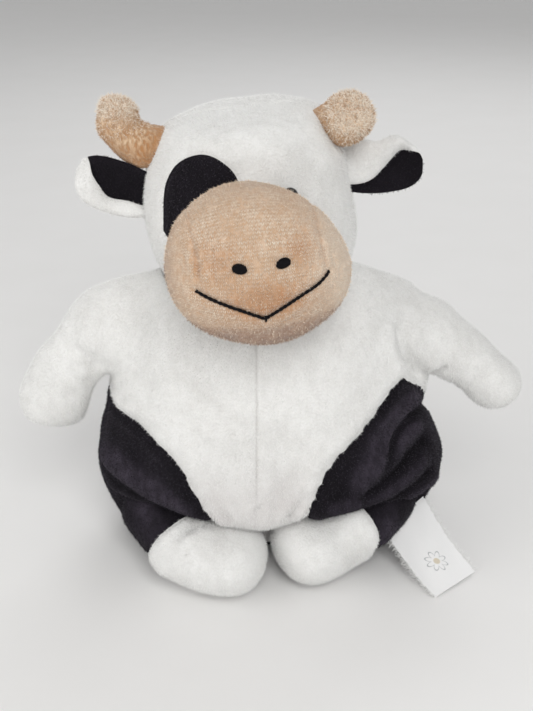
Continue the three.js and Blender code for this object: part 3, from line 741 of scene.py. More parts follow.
@dataclass(frozen=True)
class Velour:
    """Short-napped velour: a ground that is brushed into lighter and darker patches, with painted shade in seams
    and creases and painted highlights on the ridges of folds.

    Attributes:
        name: The material's name.
        light: Its colour where the nap lies smooth.
        shade: Its colour where the nap is brushed up.
        dirt: The painted shade in seams and creases and below the edges of folds.
        shine: The painted highlight on the ridges of folds.
        soil: Its darker colour where the mark of the same name shows, low on the belly's front.
        sheen: How strongly the nap catches light at its edges.
        tint: The colour of that light.
    """

    name: str
    light: Colour
    shade: Colour
    dirt: Colour
    shine: Colour
    soil: Colour
    sheen: float
    tint: Colour

    def material(self) -> bpy.types.Material:
        """The finished material."""
        graph = Graph(self.name)
        patches = graph.noise(16, 3).rising(0.35, 0.72)
        brushed = graph.noise(3.2, 3, (1, 1, 0.55)).rising(0.3, 0.75)
        nap = graph.noise(0.75, 2)
        cloth = graph.mixed(patches * 0.4 + brushed * 0.3 + nap.rising(0.3, 0.7) * 0.3, self.light, self.shade)
        # Darker tone low on the belly's front, where that mark shows.
        cloth = graph.mixed(graph.mark("soil") * (0.5 + patches * 0.5), cloth, self.soil)
        # Painted highlight above the edges of folds where this mark is above zero, painted shade below them where
        # it is below zero.
        ridge = graph.mark("ridge")
        highlighted = graph.mixed(ridge.rising(0.05, 1.0) * (0.35 + brushed * 0.5), cloth, self.shine)
        # Painted shade: darker in seams and creases and below the edges of folds.
        shade_share = graph.mark("crease").rising(0.05, 1.0) * 0.75 + (ridge * -1.0).rising(0.1, 1.0) * 0.7
        graph.colour(graph.mixed(shade_share, highlighted, self.dirt))
        graph.bump(nap * 0.6 + brushed * 0.4, 0.6, 0.85)
        graph.set({"Sheen Weight": self.sheen, "Sheen Roughness": 0.45, "Sheen Tint": (*self.tint, 1.0),
                   "Specular IOR Level": 0.15})
        return graph.material


@dataclass(frozen=True)
class Terry:
    """Brushed knit in warm beige, with rows of light stitches and darker, redder zones.

    Attributes:
        name: The material's name.
        light: The colour of the stitches' tops.
        ground: The colour between them.
        warm: The colour of the zones that a mark named warm shows.
        grey: The colour of the zones that a mark named grey shows.
        rows: How far apart the rows of stitches lie in millimetres, or 0 where the pile hides them.
    """

    name: str
    light: Colour
    ground: Colour
    warm: Colour
    grey: Colour
    rows: float = 0.0

    def stitches(self, graph: Graph) -> Number:
        """Rows of knitted stitches, each a small V, on the lengths that the cloth's marks keep."""
        wander = graph.noise(6, 2) - 0.5
        across = (graph.mark("column") + wander * 1.1) * (1 / self.rows)
        along = (graph.mark("row") + wander * 1.0) * (1.1 / self.rows)
        arm = (across.apply("FRACT") - 0.5).apply("ABSOLUTE")
        wave = ((along - arm * 1.7).apply("FRACT") - 0.5).apply("ABSOLUTE")
        broken = graph.noise(1.9, 2).rising(0.34, 0.6) * 0.75 + 0.25
        return wave.rising(0.12, 0.36) * (0.5 - arm).rising(0.03, 0.17) * arm.rising(0.0, 0.09) * broken

    def material(self) -> bpy.types.Material:
        """The finished material."""
        graph = Graph(self.name)
        wisps = graph.noise(1.1, 3, (1, 1, 0.45))
        patches = graph.noise(7, 3).rising(0.3, 0.7)
        height = wisps.rising(0.36, 0.66)
        if self.rows:
            plain = 1 - graph.mark("grey").rising(0.1, 0.9) * 0.65
            height = self.stitches(graph) * plain * 0.75 + height * 0.3
        warmed = graph.mixed(graph.mark("warm") * (0.6 + patches * 0.5), self.ground, self.warm)
        # On the muzzle the grey colour also holds painted shade on the lower rim; on the horns it is the paler
        # tip.
        greyed = graph.mixed(graph.mark("grey") * (0.55 + patches * 0.5), warmed, self.grey)
        # Paler terry on the muzzle's upper right: partly its own tone, partly painted light where the light falls.
        greyed = graph.mixed(graph.mark("pale") * 0.5, greyed, self.light)
        dull = graph.mark("warm").rising(0.1, 0.9) * 0.5 + graph.mark("grey").rising(0.1, 1.0) * 0.5
        pale = height * (0.45 + patches * 0.5) * (1 - dull)
        knit = graph.mixed(pale, greyed, self.light)
        # Painted shade: the crease mark darkens the muzzle's seam and the horns' roots towards the warm colour.
        graph.colour(graph.mixed(graph.mark("crease").rising(0.05, 1.0) * 0.5, knit, self.warm))
        graph.bump(height, 0.55, 0.8)
        graph.set({"Sheen Weight": 0.25, "Sheen Roughness": 0.5, "Specular IOR Level": 0.15})
        return graph.material


@dataclass(frozen=True)
class Plain:
    """A finish of one colour with a fine grain.

    Attributes:
        name: The material's name.
        colour: Its colour.
        shade: Its darker colour.
        roughness: How dull it is.
        grain: The size of its grain in millimetres.
        height: The depth of its grain.
        coat: The weight of a clear coat.
        shine: How strongly it mirrors.
    """

    name: str
    colour: Colour
    shade: Colour
    roughness: float = 0.8
    grain: float = 1.0
    height: float = 0.2
    coat: float = 0.0
    shine: float = 0.5

    def material(self) -> bpy.types.Material:
        """The finished material."""
        graph = Graph(self.name, self.roughness)
        grain = graph.noise(self.grain, 3)
        graph.colour(graph.mixed(grain.rising(0.3, 0.7), self.shade, self.colour))
        graph.bump(grain, self.height, 0.5)
        graph.set({"Coat Weight": self.coat, "Coat Roughness": 0.05, "Specular IOR Level": self.shine})
        return graph.material


@dataclass(frozen=True)
class Satin:
    """Woven satin ribbon with a small printed daisy.

    Attributes:
        name: The material's name.
        centre: The middle of the print, in millimetres.
        along: The ribbon's long direction.
        across: Its short direction.
    """

    name: str
    centre: Place
    along: Place
    across: Place

    def axis(self, graph: Graph, direction: Place) -> Number:
        """How far a place lies from the print's middle in a direction, in millimetres."""
        shift = graph.node("ShaderNodeVectorMath", {"operation": "SUBTRACT"},
                           {0: graph.place, 1: [c * MM for c in self.centre]})
        dot = graph.node("ShaderNodeVectorMath", {"operation": "DOT_PRODUCT"},
                         {0: shift.outputs[0], 1: direction})
        return Number(graph, dot.outputs["Value"]) * (1 / MM)

    def material(self) -> bpy.types.Material:
        """The finished material."""
        graph = Graph(self.name, 0.42)
        x, y = self.axis(graph, self.across), self.axis(graph, self.along)
        weave = (x * 9.0).apply("SINE") * 0.5 + (y * 14.0).apply("SINE") * 0.5
        cloth = graph.mixed((weave * 0.5 + 0.5) * 0.4, (0.93, 0.93, 0.93), (0.84, 0.84, 0.84))
        radius = (x * x + y * y).apply("SQRT")
        turn = y.apply("ARCTAN2", x)
        petals = (turn * 4.0).apply("COSINE").apply("ABSOLUTE")
        flower = (petals * 2.2 + 2.6 - radius).rising(0.0, 0.35)
        edge = flower * (1 - (petals * 2.2 + 2.1 - radius).rising(0.0, 0.35))
        printed = graph.mixed(edge * 0.85, cloth, (0.40, 0.41, 0.42))
        graph.colour(graph.mixed((1.5 - radius).rising(0.0, 0.4) * 0.7, printed, (0.62, 0.52, 0.34)))
        graph.bump(weave, 0.06, 0.5)
        graph.set({"Sheen Weight": 0.2, "Specular IOR Level": 0.5})
        return graph.material


class Bodies:
    """Names of the bodies that pieces ride on."""

    TORSO = "torso"
    HEAD = "head"
    TAIL = "tail"
    LABEL = "label"


@dataclass(frozen=True)
class Blend:
    """Two bodies that a piece lies between, and where it would bend; nothing here makes it bend, and the piece
    stays fixed in place.

    Attributes:
        root: The body that it starts on.
        tip: The body that it ends on.
        start: Where it would start to bend, in millimetres.
        end: Where it would fully follow the tip.
    """

    root: str
    tip: str
    start: np.ndarray
    end: np.ndarray


Carrier = str | Blend


class PileTree(Nodes):
    """Geometry Nodes for short fibres that stand on a cloth and lean with its nap."""

    def __init__(self) -> None:
        """Builds the tree."""
        super().__init__(bpy.data.node_groups.new("nap_fibres", "GeometryNodeTree"))
        self.inputs: dict[str, str] = {}
        sockets = self.tree.interface
        sockets.new_socket("Geometry", in_out="INPUT", socket_type="NodeSocketGeometry")
        sockets.new_socket("Geometry", in_out="OUTPUT", socket_type="NodeSocketGeometry")
        for name, kind in (("Density", "Float"), ("Length", "Float"), ("Width", "Float"), ("Lean", "Float"),
                           ("Nap", "Vector"), ("Seed", "Int"), ("Material", "Material")):
            socket = sockets.new_socket(name, in_out="INPUT", socket_type=f"NodeSocket{kind}")
            self.inputs[name] = socket.identifier
        entry = self.node("NodeGroupInput").outputs
        spread = self.node("GeometryNodeDistributePointsOnFaces", None, {
            "Mesh": entry["Geometry"], "Density": entry["Density"], "Seed": entry["Seed"]}).outputs
        stray = self.node("FunctionNodeRandomValue", {"data_type": "FLOAT_VECTOR"}, {
            0: (-1.0, -1.0, -1.0), 1: (1.0, 1.0, 1.0), "Seed": entry["Seed"]})
        leaned = self.vector("SCALE", {0: stray.outputs[0], "Scale": entry["Lean"]})
        both = self.vector("ADD", {0: leaned, 1: entry["Nap"]})
        out = self.vector("ADD", {0: both, 1: spread["Normal"]})
        turn = self.node("FunctionNodeAlignRotationToVector", {"axis": "Z"}, {"Vector": out})
        size = self.node("FunctionNodeRandomValue", {"data_type": "FLOAT"}, {
            2: 0.55, 3: 1.15, "Seed": entry["Seed"]})
        fibre = self.node("GeometryNodeMeshCone", {"fill_type": "NGON"}, {
            "Vertices": 3, "Radius Top": 0.0, "Radius Bottom": entry["Width"], "Depth": entry["Length"]})
        placed = self.node("GeometryNodeInstanceOnPoints", None, {
            "Points": spread["Points"], "Instance": fibre.outputs[0], "Rotation": turn.outputs[0],
            "Scale": size.outputs[1]})
        real = self.node("GeometryNodeRealizeInstances", None, {0: placed.outputs[0]})
        dressed = self.node("GeometryNodeSetMaterial", None, {
            "Geometry": real.outputs[0], "Material": entry["Material"]})
        self.node("NodeGroupOutput", None, {0: dressed.outputs[0]})

    def vector(self, operation: str, inputs: Mapping) -> bpy.types.NodeSocket:
        """The vector that a Vector Math node gives."""
        return self.node("ShaderNodeVectorMath", {"operation": operation}, inputs).outputs[0]

    def grown(self, source: bpy.types.Object, name: str, values: Mapping[str, object]) -> bpy.types.Object:
        """The fibres on an object, as a plain mesh of their own.

        Args:
            source: What they grow on; it is removed.
            name: The new piece's name.
            values: The tree's inputs, by name.

        Returns:
            The new piece.
        """
        modifier = source.modifiers.new(name, "NODES")
        modifier.node_group = self.tree
        for key, value in values.items():
            modifier[self.inputs[key]] = value
        graph = bpy.context.evaluated_depsgraph_get()
        mesh = bpy.data.meshes.new_from_object(source.evaluated_get(graph))
        mesh.name = name
        bpy.data.objects.remove(source)
        return in_scene(name, mesh)


@dataclass(frozen=True)
class Nap:
    """How the fibres of one cloth stand.

    Attributes:
        material: Their finish.
        slot: The record's material slot.
        density: How many stand on a square millimetre.
        length: How long they are, in millimetres.
        width: Their thickness.
        lean: How much they stray.
        lie: The way in which they all lean.
    """

    material: bpy.types.Material
    slot: str
    density: float
    length: float
    width: float
    lean: float = 0.75
    lie: Place = (0.0, 0.0, -0.45)


def pile(name: str, colour: Colour, sheen: float = 0.0) -> bpy.types.Material:
    """The material of fibres: one colour, so that it needs no picture."""
    graph = Graph(name)
    graph.set({"Base Color": (*colour, 1.0), "Sheen Weight": sheen, "Specular IOR Level": 0.1})
    return graph.material


@dataclass(frozen=True)
class Fabric:
    """What a piece is made of.

    Attributes:
        material: Its finish.
        slot: The record's material slot.
        nap: The fibres that stand on it, if any.
    """

    material: bpy.types.Material
    slot: str
    nap: Nap | None = None


class Workshop:
    """Holds every fabric and nap, and makes the pieces of them."""

    nap_floor = 1.5

    def __init__(self) -> None:
        """Builds the materials and the tree of the fibres."""
        self.tree = PileTree()
        self.seed = 0
        self.white_fabrics()
        self.black_fabrics()
        self.knits()
        self.hard_parts()

    def white_fabrics(self) -> None:
        """White velour, with a thinner nap on the back."""
        slot, fibres = "white_velour", pile("white_nap", (0.84, 0.84, 0.83))
        # Nap tones, then the painted shade of seams and creases, the painted highlight of fold ridges and the
        # darker tone low on the belly.
        velour = Velour(slot, (0.84, 0.84, 0.83), (0.67, 0.665, 0.65), (0.50, 0.485, 0.47), (0.86, 0.86, 0.85),
                        (0.56, 0.53, 0.525), 0.2, (1.0, 1.0, 1.0)).material()
        self.white = Fabric(velour, slot, Nap(fibres, slot, 2.6, 0.95, 0.17, 0.5))
        self.white_back = Fabric(velour, slot, Nap(fibres, slot, 1.8, 0.95, 0.2, 0.5))
        self.fringe = Nap(fibres, slot, 3.0, 1.15, 0.2, 1.0, (0.0, -0.3, -0.3))

    def black_fabrics(self) -> None:
        """Black velour, and the tail's tuft."""
        slot, fibres = "black_velour", pile("black_nap", (0.010, 0.008, 0.012), 0.1)
        # Nap tones, then the painted shade of seams and creases and the painted highlight of fold ridges; the low
        # belly tone is the smooth tone.
        velour = Velour(slot, (0.0042, 0.0034, 0.0048), (0.0105, 0.0085, 0.0125), (0.0015, 0.0012, 0.0017),
                        (0.055, 0.046, 0.063), (0.0042, 0.0034, 0.0048), 0.1, (0.42, 0.38, 0.46)).material()
        self.black = Fabric(velour, slot, Nap(fibres, slot, 1.8, 0.85, 0.2))
        self.bare_black = Fabric(velour, slot)
        self.tuft = Fabric(velour, slot, Nap(fibres, slot, 3.0, 4.0, 0.4, 0.4, (0.0, 0.0, -1.5)))
        # Paler fibre tips over black velour: painted glints of light on the nap.
        self.black_flecks = Nap(pile("black_nap_tips", (0.07, 0.062, 0.08), 0.1), slot, 1.2, 0.9, 0.12, 0.9)

    def knits(self) -> None:
        """The knits of the muzzle and of the horns, with their fibres."""
        slot, lie = "muzzle_terry", (0.0, 0.0, -0.2)
        # The muzzle's grey colour is dark enough to hold painted shade on the lower rim as well as its greyer
        # tone.
        self.muzzle = Fabric(Terry(slot, (0.93, 0.83, 0.70), (0.57, 0.375, 0.24), (0.43, 0.195, 0.08),
                                   (0.30, 0.195, 0.155), 1.25).material(), slot)
        self.muzzle_nap = Nap(pile("muzzle_nap", (0.74, 0.58, 0.44)), slot, 0.9, 0.75, 0.16, 1.0, lie)
        # Darker fibres for the muzzle's lower rim: a greyer tone there, darkened further as painted shade.
        self.muzzle_low = Nap(pile("muzzle_low_nap", (0.41, 0.285, 0.22)), slot, 2.2, 0.9, 0.16, 1.0, lie)
        self.muzzle_flecks = Nap(pile("muzzle_flecks", (0.86, 0.76, 0.64)), slot, 0.4, 0.95, 0.22, 1.0)
        slot = "horn_terry"
        self.horn = Fabric(Terry(slot, (0.78, 0.60, 0.42), (0.50, 0.29, 0.155), (0.42, 0.205, 0.085),
                                 (0.72, 0.62, 0.51)).material(), slot)
        ground, pale = pile("horn_nap", (0.53, 0.335, 0.195)), pile("horn_wisps", (0.88, 0.80, 0.70))
        self.horn_nap = Nap(ground, slot, 2.8, 1.0, 0.24, 1.1)
        self.stub = Nap(ground, slot, 1.8, 0.6, 0.18, 1.0)
        self.flecks = Nap(pale, slot, 1.5, 1.3, 0.26, 1.4)
        self.wisps = Nap(pale, slot, 3.0, 1.9, 0.3, 1.5, (0.0, 0.0, 0.3))

    def hard_parts(self) -> None:
        """Thread, filling, the pellets' bag, the eyes and their washers."""

        def plain(name: str, *values: object, **more: float) -> Fabric:
            """A plain finish whose name is its slot's name."""
            return Fabric(Plain(name, *values, **more).material(), name)

        self.thread = plain("black_thread", (0.007, 0.006, 0.008), (0.003, 0.003, 0.0035), 0.85, 0.5, 0.15,
                            shine=0.12)
        self.fibre = plain("fibre_filling", (0.86, 0.85, 0.82), (0.70, 0.69, 0.66), 0.95, 1.4, 0.8)
        self.pouch = plain("pouch_cotton", (0.72, 0.67, 0.55), (0.60, 0.55, 0.43), 0.9, 0.6, 0.2)
        self.eye = plain("eye_gloss", (0.006, 0.0055, 0.0065), (0.004, 0.0035, 0.004), 0.22, 3.0, 0.01, 0.1, 0.3)
        self.washer = plain("washer_plastic", (0.72, 0.72, 0.70), (0.66, 0.66, 0.64), 0.4, 2.0, 0.05)

    def carry(self, piece: bpy.types.Object, carrier: Carrier) -> None:
        """Attaches a piece to its body, or leaves a piece between two bodies fixed in place, and logs which."""
        if isinstance(carrier, Blend):
            start, end = (tuple(place * MM) for place in (carrier.start, carrier.end))
            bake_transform(piece)
        else:
            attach(piece, carrier)
        log.info("%s: %d faces on %s", piece.name, len(piece.data.polygons), carrier)

    def piece(self, surface: Surface, name: str, fabric: Fabric, carrier: Carrier, node: str | None = None,
              fill: float | None = None) -> bpy.types.Object:
        """One closed piece.

        Args:
            surface: Its surface.
            name: Its name.
            fabric: What it is made of.
            carrier: The body that it rides on, or two bodies between which it is left fixed in place.
            node: The CAD node that it replaces, if any.
            fill: How full it is, for a stuffed piece; not used.

        Returns:
            The piece.
        """
        piece = surface.to_object(name)
        piece.data.materials.append(fabric.material)
        self.carry(piece, carrier)
        if node:
            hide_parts(node)
        return piece

    def nap(self, surface: Surface, name: str, nap: Nap, carrier: Carrier) -> None:
        """Grows fibres on a surface, clear of the floor.

        Args:
            surface: The cloth's outer side.
            name: The fibres' name.
            nap: How they stand.
            carrier: What they ride on.
        """
        self.seed += 1
        clear = Surface(surface.points, surface.faces).cut(surface.points[:, 2] - self.nap_floor)[0]
        fibres = self.tree.grown(clear.to_object(name + "_ground"), name, {
            "Density": nap.density / MM**2, "Length": nap.length * MM, "Width": nap.width * MM / 2,
            "Lean": nap.lean, "Nap": nap.lie, "Seed": self.seed, "Material": nap.material})
        self.carry(fibres, carrier)

    def skin(self, surface: Surface, name: str, fabric: Fabric, carrier: Carrier, node: str,
             fill: float | None = 0.7, thickness: float = SKIN) -> None:
        """One sewn panel with its nap.

        Args:
            surface: Its outer side.
            name: The piece's name.
            fabric: What it is made of.
            carrier: What it rides on.
            node: The CAD node that it replaces.
            fill: How full it is, for a stuffed piece.
            thickness: How thick the cloth is.
        """
        self.piece(surface.shell(thickness), name, fabric, carrier, node, fill)
        if fabric.nap:
            self.nap(surface, name + "_nap", fabric.nap, carrier)


TORSO_SHARES = (
    (0, 0), (0.45, 0), (0.74, 0.012), (0.87, 0.07), (0.96, 0.16), (1, 0.3), (0.965, 0.45), (0.9, 0.59),
    (0.845, 0.71), (0.8, 0.81), (0.735, 0.89), (0.6, 0.955), (0.32, 0.99), (0, 1),
)
CROWN_SHARES = (
    (0.985, 0.22), (0.955, 0.42), (0.91, 0.62), (0.84, 0.79), (0.71, 0.915), (0.42, 0.985), (0, 1),
)
MUZZLE_SHARES = (
    (0, 0), (0.42, 0.045), (0.73, 0.155), (0.93, 0.31), (1, 0.5), (0.94, 0.69), (0.75, 0.845),
    (0.43, 0.955), (0, 1),
)
ARM_SHARES = (
    (0, 0), (0.7, 0.03), (1.12, 0.12), (1.2, 0.22), (1.08, 0.36), (0.95, 0.5), (0.94, 0.64), (1, 0.78),
    (0.9, 0.9), (0.6, 0.97), (0, 1),
)
LEG_SHARES = ((0, 0), (0.6, 0.04), (0.92, 0.15), (1, 0.4), (0.98, 0.7), (0.8, 0.92), (0, 1))
FOOT_SHARES = {
    Side.LEFT: ((0, 0), (0.45, 0.035), (0.72, 0.13), (0.86, 0.28), (0.97, 0.46), (1, 0.6), (0.95, 0.75),
                (0.77, 0.89), (0.45, 0.97), (0, 1)),
    Side.RIGHT: ((0, 0), (0.5, 0.03), (0.8, 0.12), (0.95, 0.28), (1, 0.46), (1, 0.6), (0.95, 0.75),
                 (0.77, 0.89), (0.45, 0.97), (0, 1)),
}
HORN_SHARES = {
    Side.LEFT: ((0, 0), (0.7, 0.02), (1, 0.1), (0.96, 0.4), (0.86, 0.65), (0.8, 0.83), (0.58, 0.95), (0, 1)),
    Side.RIGHT: ((0, 0), (0.8, 0.03), (0.97, 0.12), (0.95, 0.35), (0.97, 0.58), (1.02, 0.76), (0.9, 0.91),
                 (0.55, 0.98), (0, 1)),
}
ARM_CORE_SHARES = ((0, 0), (0.75, 0.05), (0.9, 0.3), (0.95, 0.7), (0.8, 0.92), (0, 1))
HORN_CORE_SHARES = ((0, 0), (0.8, 0.05), (0.9, 0.5), (0.75, 0.9), (0, 1))
EAR_SHARES = (
    (0, 0), (0.6, 0.02), (0.84, 0.14), (0.97, 0.35), (1, 0.56), (0.92, 0.79), (0.58, 0.95), (0, 1),
)
TAIL_SHARES = ((0, 0), (0.8, 0.03), (1, 0.1), (0.9, 0.5), (0.8, 0.94), (0, 1))
TUFT_SHARES = ((0, 0), (0.55, 0.06), (0.9, 0.25), (1, 0.5), (0.72, 0.8), (0.3, 0.97), (0, 1))


def table(values: Sequence[Sequence[float]], at: np.ndarray) -> np.ndarray:
    """A smooth curve through pairs of numbers, read at places."""
    curve = spline(values, 200)
    return np.interp(at, curve[:, 0], curve[:, 1])


@dataclass
class Trunk:
    """The torso and both arms: one stuffed form, cut into the panels that it is sewn from."""

    height: float = 119.0
    half_width: float = 69.0
    flatten: float = 95 / 138
    voxel: float = 1.05
    shoulder: Place = (54.953, -2.0, 97.0)
    arm_reach: float = 47.0
    neck: Place = (-6.0, 2.0, 134.0)
    neck_radius: float = 38.7
    stitch: float = -4.7
    nap_room: float = 0.7
    tuck_share: float = 0.42
    tuck_span: float = 0.58
    arm_seam: float = 1.3
    seat_seam: float = 4.0
    fringe_width: float = 0.9
    bend_from: float = 22.5
    bend_to: float = 58.0

    belly_edge: Pairs = (
        (-70, 35), (-45, 36), (-38, 36.3), (-30, 35.2), (-20, 35.2), (-12, 33.6), (-2, 33.0), (5, 34.6),
        (11, 37.6), (20, 37.0), (30, 37.8), (45, 38.2), (70, 37),
    )
    left_bib: Pairs = ((0, 13.8), (20, 14.5), (35.4, 16.9), (39.8, 19.4), (47.2, 23.6), (54.5, 27.4),
                       (58.8, 31.8), (63.0, 39.5), (65.6, 47.2), (66.6, 53), (67.6, 66), (70, 90))
    right_bib: Pairs = ((0, 13.8), (20, 16), (38, 18.5), (45.4, 21.1), (53.2, 24.6), (59.6, 29.6), (65.1, 36.5),
                        (71, 42.6), (77.4, 47.8), (81.7, 52.4), (85, 55), (90, 58))
    back_bib: Pairs = ((0, 13.8), (26, 19.3), (44, 24.2), (55, 31.7), (63.4, 42), (67.5, 52), (69.5, 70), (72, 95))
    bends: Mapping[Side, Sequence[Place]] = pair(((-0.18, 0, 0.08), (0.48, 0.1, -0.12), (0.645, 0.2, -0.90)),
                                                 ((-0.18, 0, 0.03), (0.38, 0.07, -0.25), (0.81, 0.15, -0.66)))
    widths: Mapping[Side, tuple[float, float]] = pair((28.0, 22.5), (23.0, 25.5))
    neck_slopes: Sequence[tuple[Place, float, Place, float]] = (
        ((-36.0, -2.0, 104.8), 12.5, (-60.0, -2.0, 101.3), 10.5),
        ((32.0, -2.0, 104.2), 12.5, (54.0, -2.0, 99.3), 11.5),
    )
    pinch_depth: float = 4.6
    pinch_height: float = 60.0
    folds: Sequence[Fold] = (
        Fold(((66, 10, 60), (63.5, -5, 64), (58.5, -15, 65.6), (52.5, -24.1, 64.4), (47.6, -29.9, 60.2),
              (43, -34.2, 54), (37, -37.8, 47)), (-0.8, 0, 0.55), 1.3, 1.7, 5.5, fade=14),
        Fold(((64.1, -12.5, 56), (60.1, -19.5, 54.8), (54.5, -26.4, 53), (49, -31.6, 50.2), (41.6, -36.6, 48),
              (34.4, -40.4, 45), (29, -42.6, 41.5)), (-0.5, 0, 0.85), 2.1, 3.0, 4.6),
        Fold(((64, -16, 43.5), (60.7, -22.2, 42.6), (55, -28.3, 41.2), (49.8, -32.7, 39.8), (44.3, -36.3, 38.6),
              (38.7, -39.3, 37.6), (31.4, -42.2, 36.6), (24.4, -44.4, 36), (16.5, -46.1, 35.2)),
             (-0.35, 0, 0.93), 1.7, 2.6, 4.0),
        Fold(((47.9, -34, 35.6), (52, -30.8, 33.6), (57.7, -26, 31.6), (63.5, -18.7, 30.5), (67, -8, 30)),
             (0.1, 0, 1), 1.5, 1.6, 3.4),
        Fold(((-66.5, -8, 41), (-61.8, -20.7, 40.8), (-55.2, -28, 40.4), (-51.4, -31.4, 39.4),
              (-47.2, -34.6, 37.4), (-41.7, -37.8, 36.6), (-37, -40.1, 36), (-31.1, -42.4, 34.9),
              (-22.7, -44.9, 34.6)), (0.3, 0, 0.95), 1.9, 2.4, 4.6),
    )
    creases: Sequence[Crease] = (
        Crease(((-58, -17, 108), (-61.3, -18.1, 101), (-60.6, -18.2, 90), (-61.1, -12, 77.5)), 2.3, 3.0, 1.0,
               fade=8),
        Crease(((-75.2, -15.6, 91), (-70.5, -17.3, 88.8), (-65.8, -17.2, 85.2), (-62.8, -14.4, 79.6)), 3.0, 2.0,
               1.2, fade=5),
        Crease(((47.9, -17.5, 103.3), (47.4, -20.3, 95.7), (50, -19.4, 88.3), (54.1, -16.5, 81.5),
                (58, -12, 77)), 3.0, 2.3, 1.2, fade=6),
        Crease(((64.5, 8, 61), (62.5, -6, 62.5), (57.5, -15.5, 63.2), (54, -22, 62)), 2.6, 2.2, 0.5, fade=9),
        Crease(((60, -9.8, 77.5), (63.4, -14.7, 81.5), (66.5, -15.5, 84.5)), 2.2, 1.6, 0.8, fade=4),
        Crease(((13, -46.3, 47), (11, -46.8, 42.5), (8.2, -46.2, 37.5), (6, -43.5, 33)), 2.6, 1.5, 1.2),
        Crease(((16.5, -46.3, 43), (15.5, -45.8, 39.5), (15, -44.2, 36)), 1.5, 1.3, 0.8),
        Crease(((-19, -45.8, 41), (-15.5, -46.4, 36), (-13, -45, 31.5)), 1.8, 1.5, 0.9),
        Crease(((-2.5, -46.9, 44), (-4.4, -47.2, 38), (-5, -46, 32)), 1.9, 1.3, 1.0),
        Crease(((-9, -46.9, 38), (-9.5, -46.5, 34.5), (-9, -45, 31)), 1.3, 1.2, 0.7),
    )

    def torso_form(self) -> SoftForm:
        """The torso alone: an egg that is drawn in where the feet go."""

        def tucked(grid: np.ndarray) -> np.ndarray:
            """Draws the front in below the belly's wavy lower edge."""
            edge = np.interp(grid[..., 0], *np.array(self.belly_edge).T)
            share = self.tuck_share + self.tuck_span * ramp(grid[..., 2], edge - 19, edge + 1.5)
            grid[..., 1] = np.where(grid[..., 1] < 0, grid[..., 1] * share, grid[..., 1])
            return grid

        path = np.array([[0.0, 0.0, -0.5], [0.0, 0.0, self.height]])
        return SoftForm(path, TORSO_SHARES, self.half_width, flatten=self.flatten, shape=tucked)

    def arm_form(self, side: Side) -> SoftForm:
        """One arm, from inside the shoulder to the hand."""
        root = np.array(self.shoulder) * [side.value, 1, 1]
        places = [root + self.arm_reach * np.array([side.value * out, -forward, up])
                  for out, forward, up in self.bends[side]]
        width, thickness = self.widths[side]
        return SoftForm(bend(*places), ARM_SHARES, width / 2, (float(side.value), 0.0, 0.0), thickness / width)

    def outside(self, points: np.ndarray) -> np.ndarray:
        """How far places lie outside the torso, roughly."""
        outline = spline(np.asarray(TORSO_SHARES) * [self.half_width, self.height + 0.5], 400)
        radius = np.interp(points[:, 2] + 0.5, outline[:, 1], outline[:, 0], right=0.0)
        tucked = self.tuck_share + self.tuck_span * ramp(points[:, 2], 12, 34)
        tuck = np.where(points[:, 1] < 0, tucked, 1.0)
        return np.hypot(points[:, 0], points[:, 1] / (self.flatten * tuck)) - radius

    def pinch(self, points: np.ndarray) -> np.ndarray:
        """How far the right side is drawn in below the arm."""
        x, _, z = points.T
        return self.pinch_depth * bell(z, 13, self.pinch_height) * ramp(x, 28, 58)

    def white(self, points: np.ndarray) -> np.ndarray:
        """How far places lie inside the white panels, in the front or the back."""
        x, y, z = points.T

        def inside(values: Pairs, middle: float) -> np.ndarray:
            """The distance from one seam."""
            half = table(values, z)
            slope = table(values, z + 0.5) - table(values, z - 0.5)
            return (half - np.abs(x - middle)) / np.sqrt(1 + slope**2)

        wobble = 0.3 * np.sin(z * 0.9 + x * 0.35) + 0.18 * np.sin(z * 2.3)
        armpit = (z - np.maximum(67.5, 81.0 - 1.02 * (x - 50))) * 0.7
        right = inside(self.right_bib, self.stitch)
        right = (right + armpit + np.sqrt((right - armpit) ** 2 + 1.2)) / 2
        front = np.where(x < self.stitch, inside(self.left_bib, self.stitch), right) + wobble
        return front + (inside(self.back_bib, 0.0) - front) * ramp(y, -4, 12)

    def sculpted(self) -> Surface:
        """The whole form with its folds, creases and seams."""
        slopes = [tube(spline((start, end), 12), np.linspace(girth, last, 12), 24)
                  for start, girth, end, last in self.neck_slopes]
        arms = [self.arm_form(side).surface(64, 70) for side in Side]
        surface = voxel_union([self.torso_form().surface(160, 120), *slopes, *arms], self.voxel)
        surface.relax(3)
        surface.marks["arm"] = self.outside(surface.points)
        x, _, z = surface.points.T
        root = bell(np.abs(x), 15, 54) * ramp(z, 84, 94)
        surface.relax(60, root)
        surface.relax(25, 0.6 * bell(np.abs(x), 9, 62) * ramp(z, 76, 82) * ramp(-z, -96, -84))
        surface.relax(6, mark="arm")
        surface.push(1.3 * lumps(surface.points, 26, 4) + 0.45 * lumps(surface.points, 9, 5) - self.nap_room)
        for shape in (*self.folds, *self.creases):
            shape.push(surface)
        self.stitch_seams(surface)
        surface.marks["bib"] = self.white(surface.points)
        # Random painted highlight and shade patches outside the white panels, on the black hips.
        brushed = 0.45 * lumps(surface.points, 17, 9) * ramp(-surface.marks["bib"], 0, 3)
        surface.marks["ridge"] = np.clip(surface.marks["ridge"] + brushed, -1, 1)
        surface.points[:, 0] -= self.pinch(surface.points) * ramp(-surface.marks["arm"], -5, 0)
        self.open_neck(surface)
        surface.relax(2)
        surface.lift_to(FLOOR_GAP)
        return surface

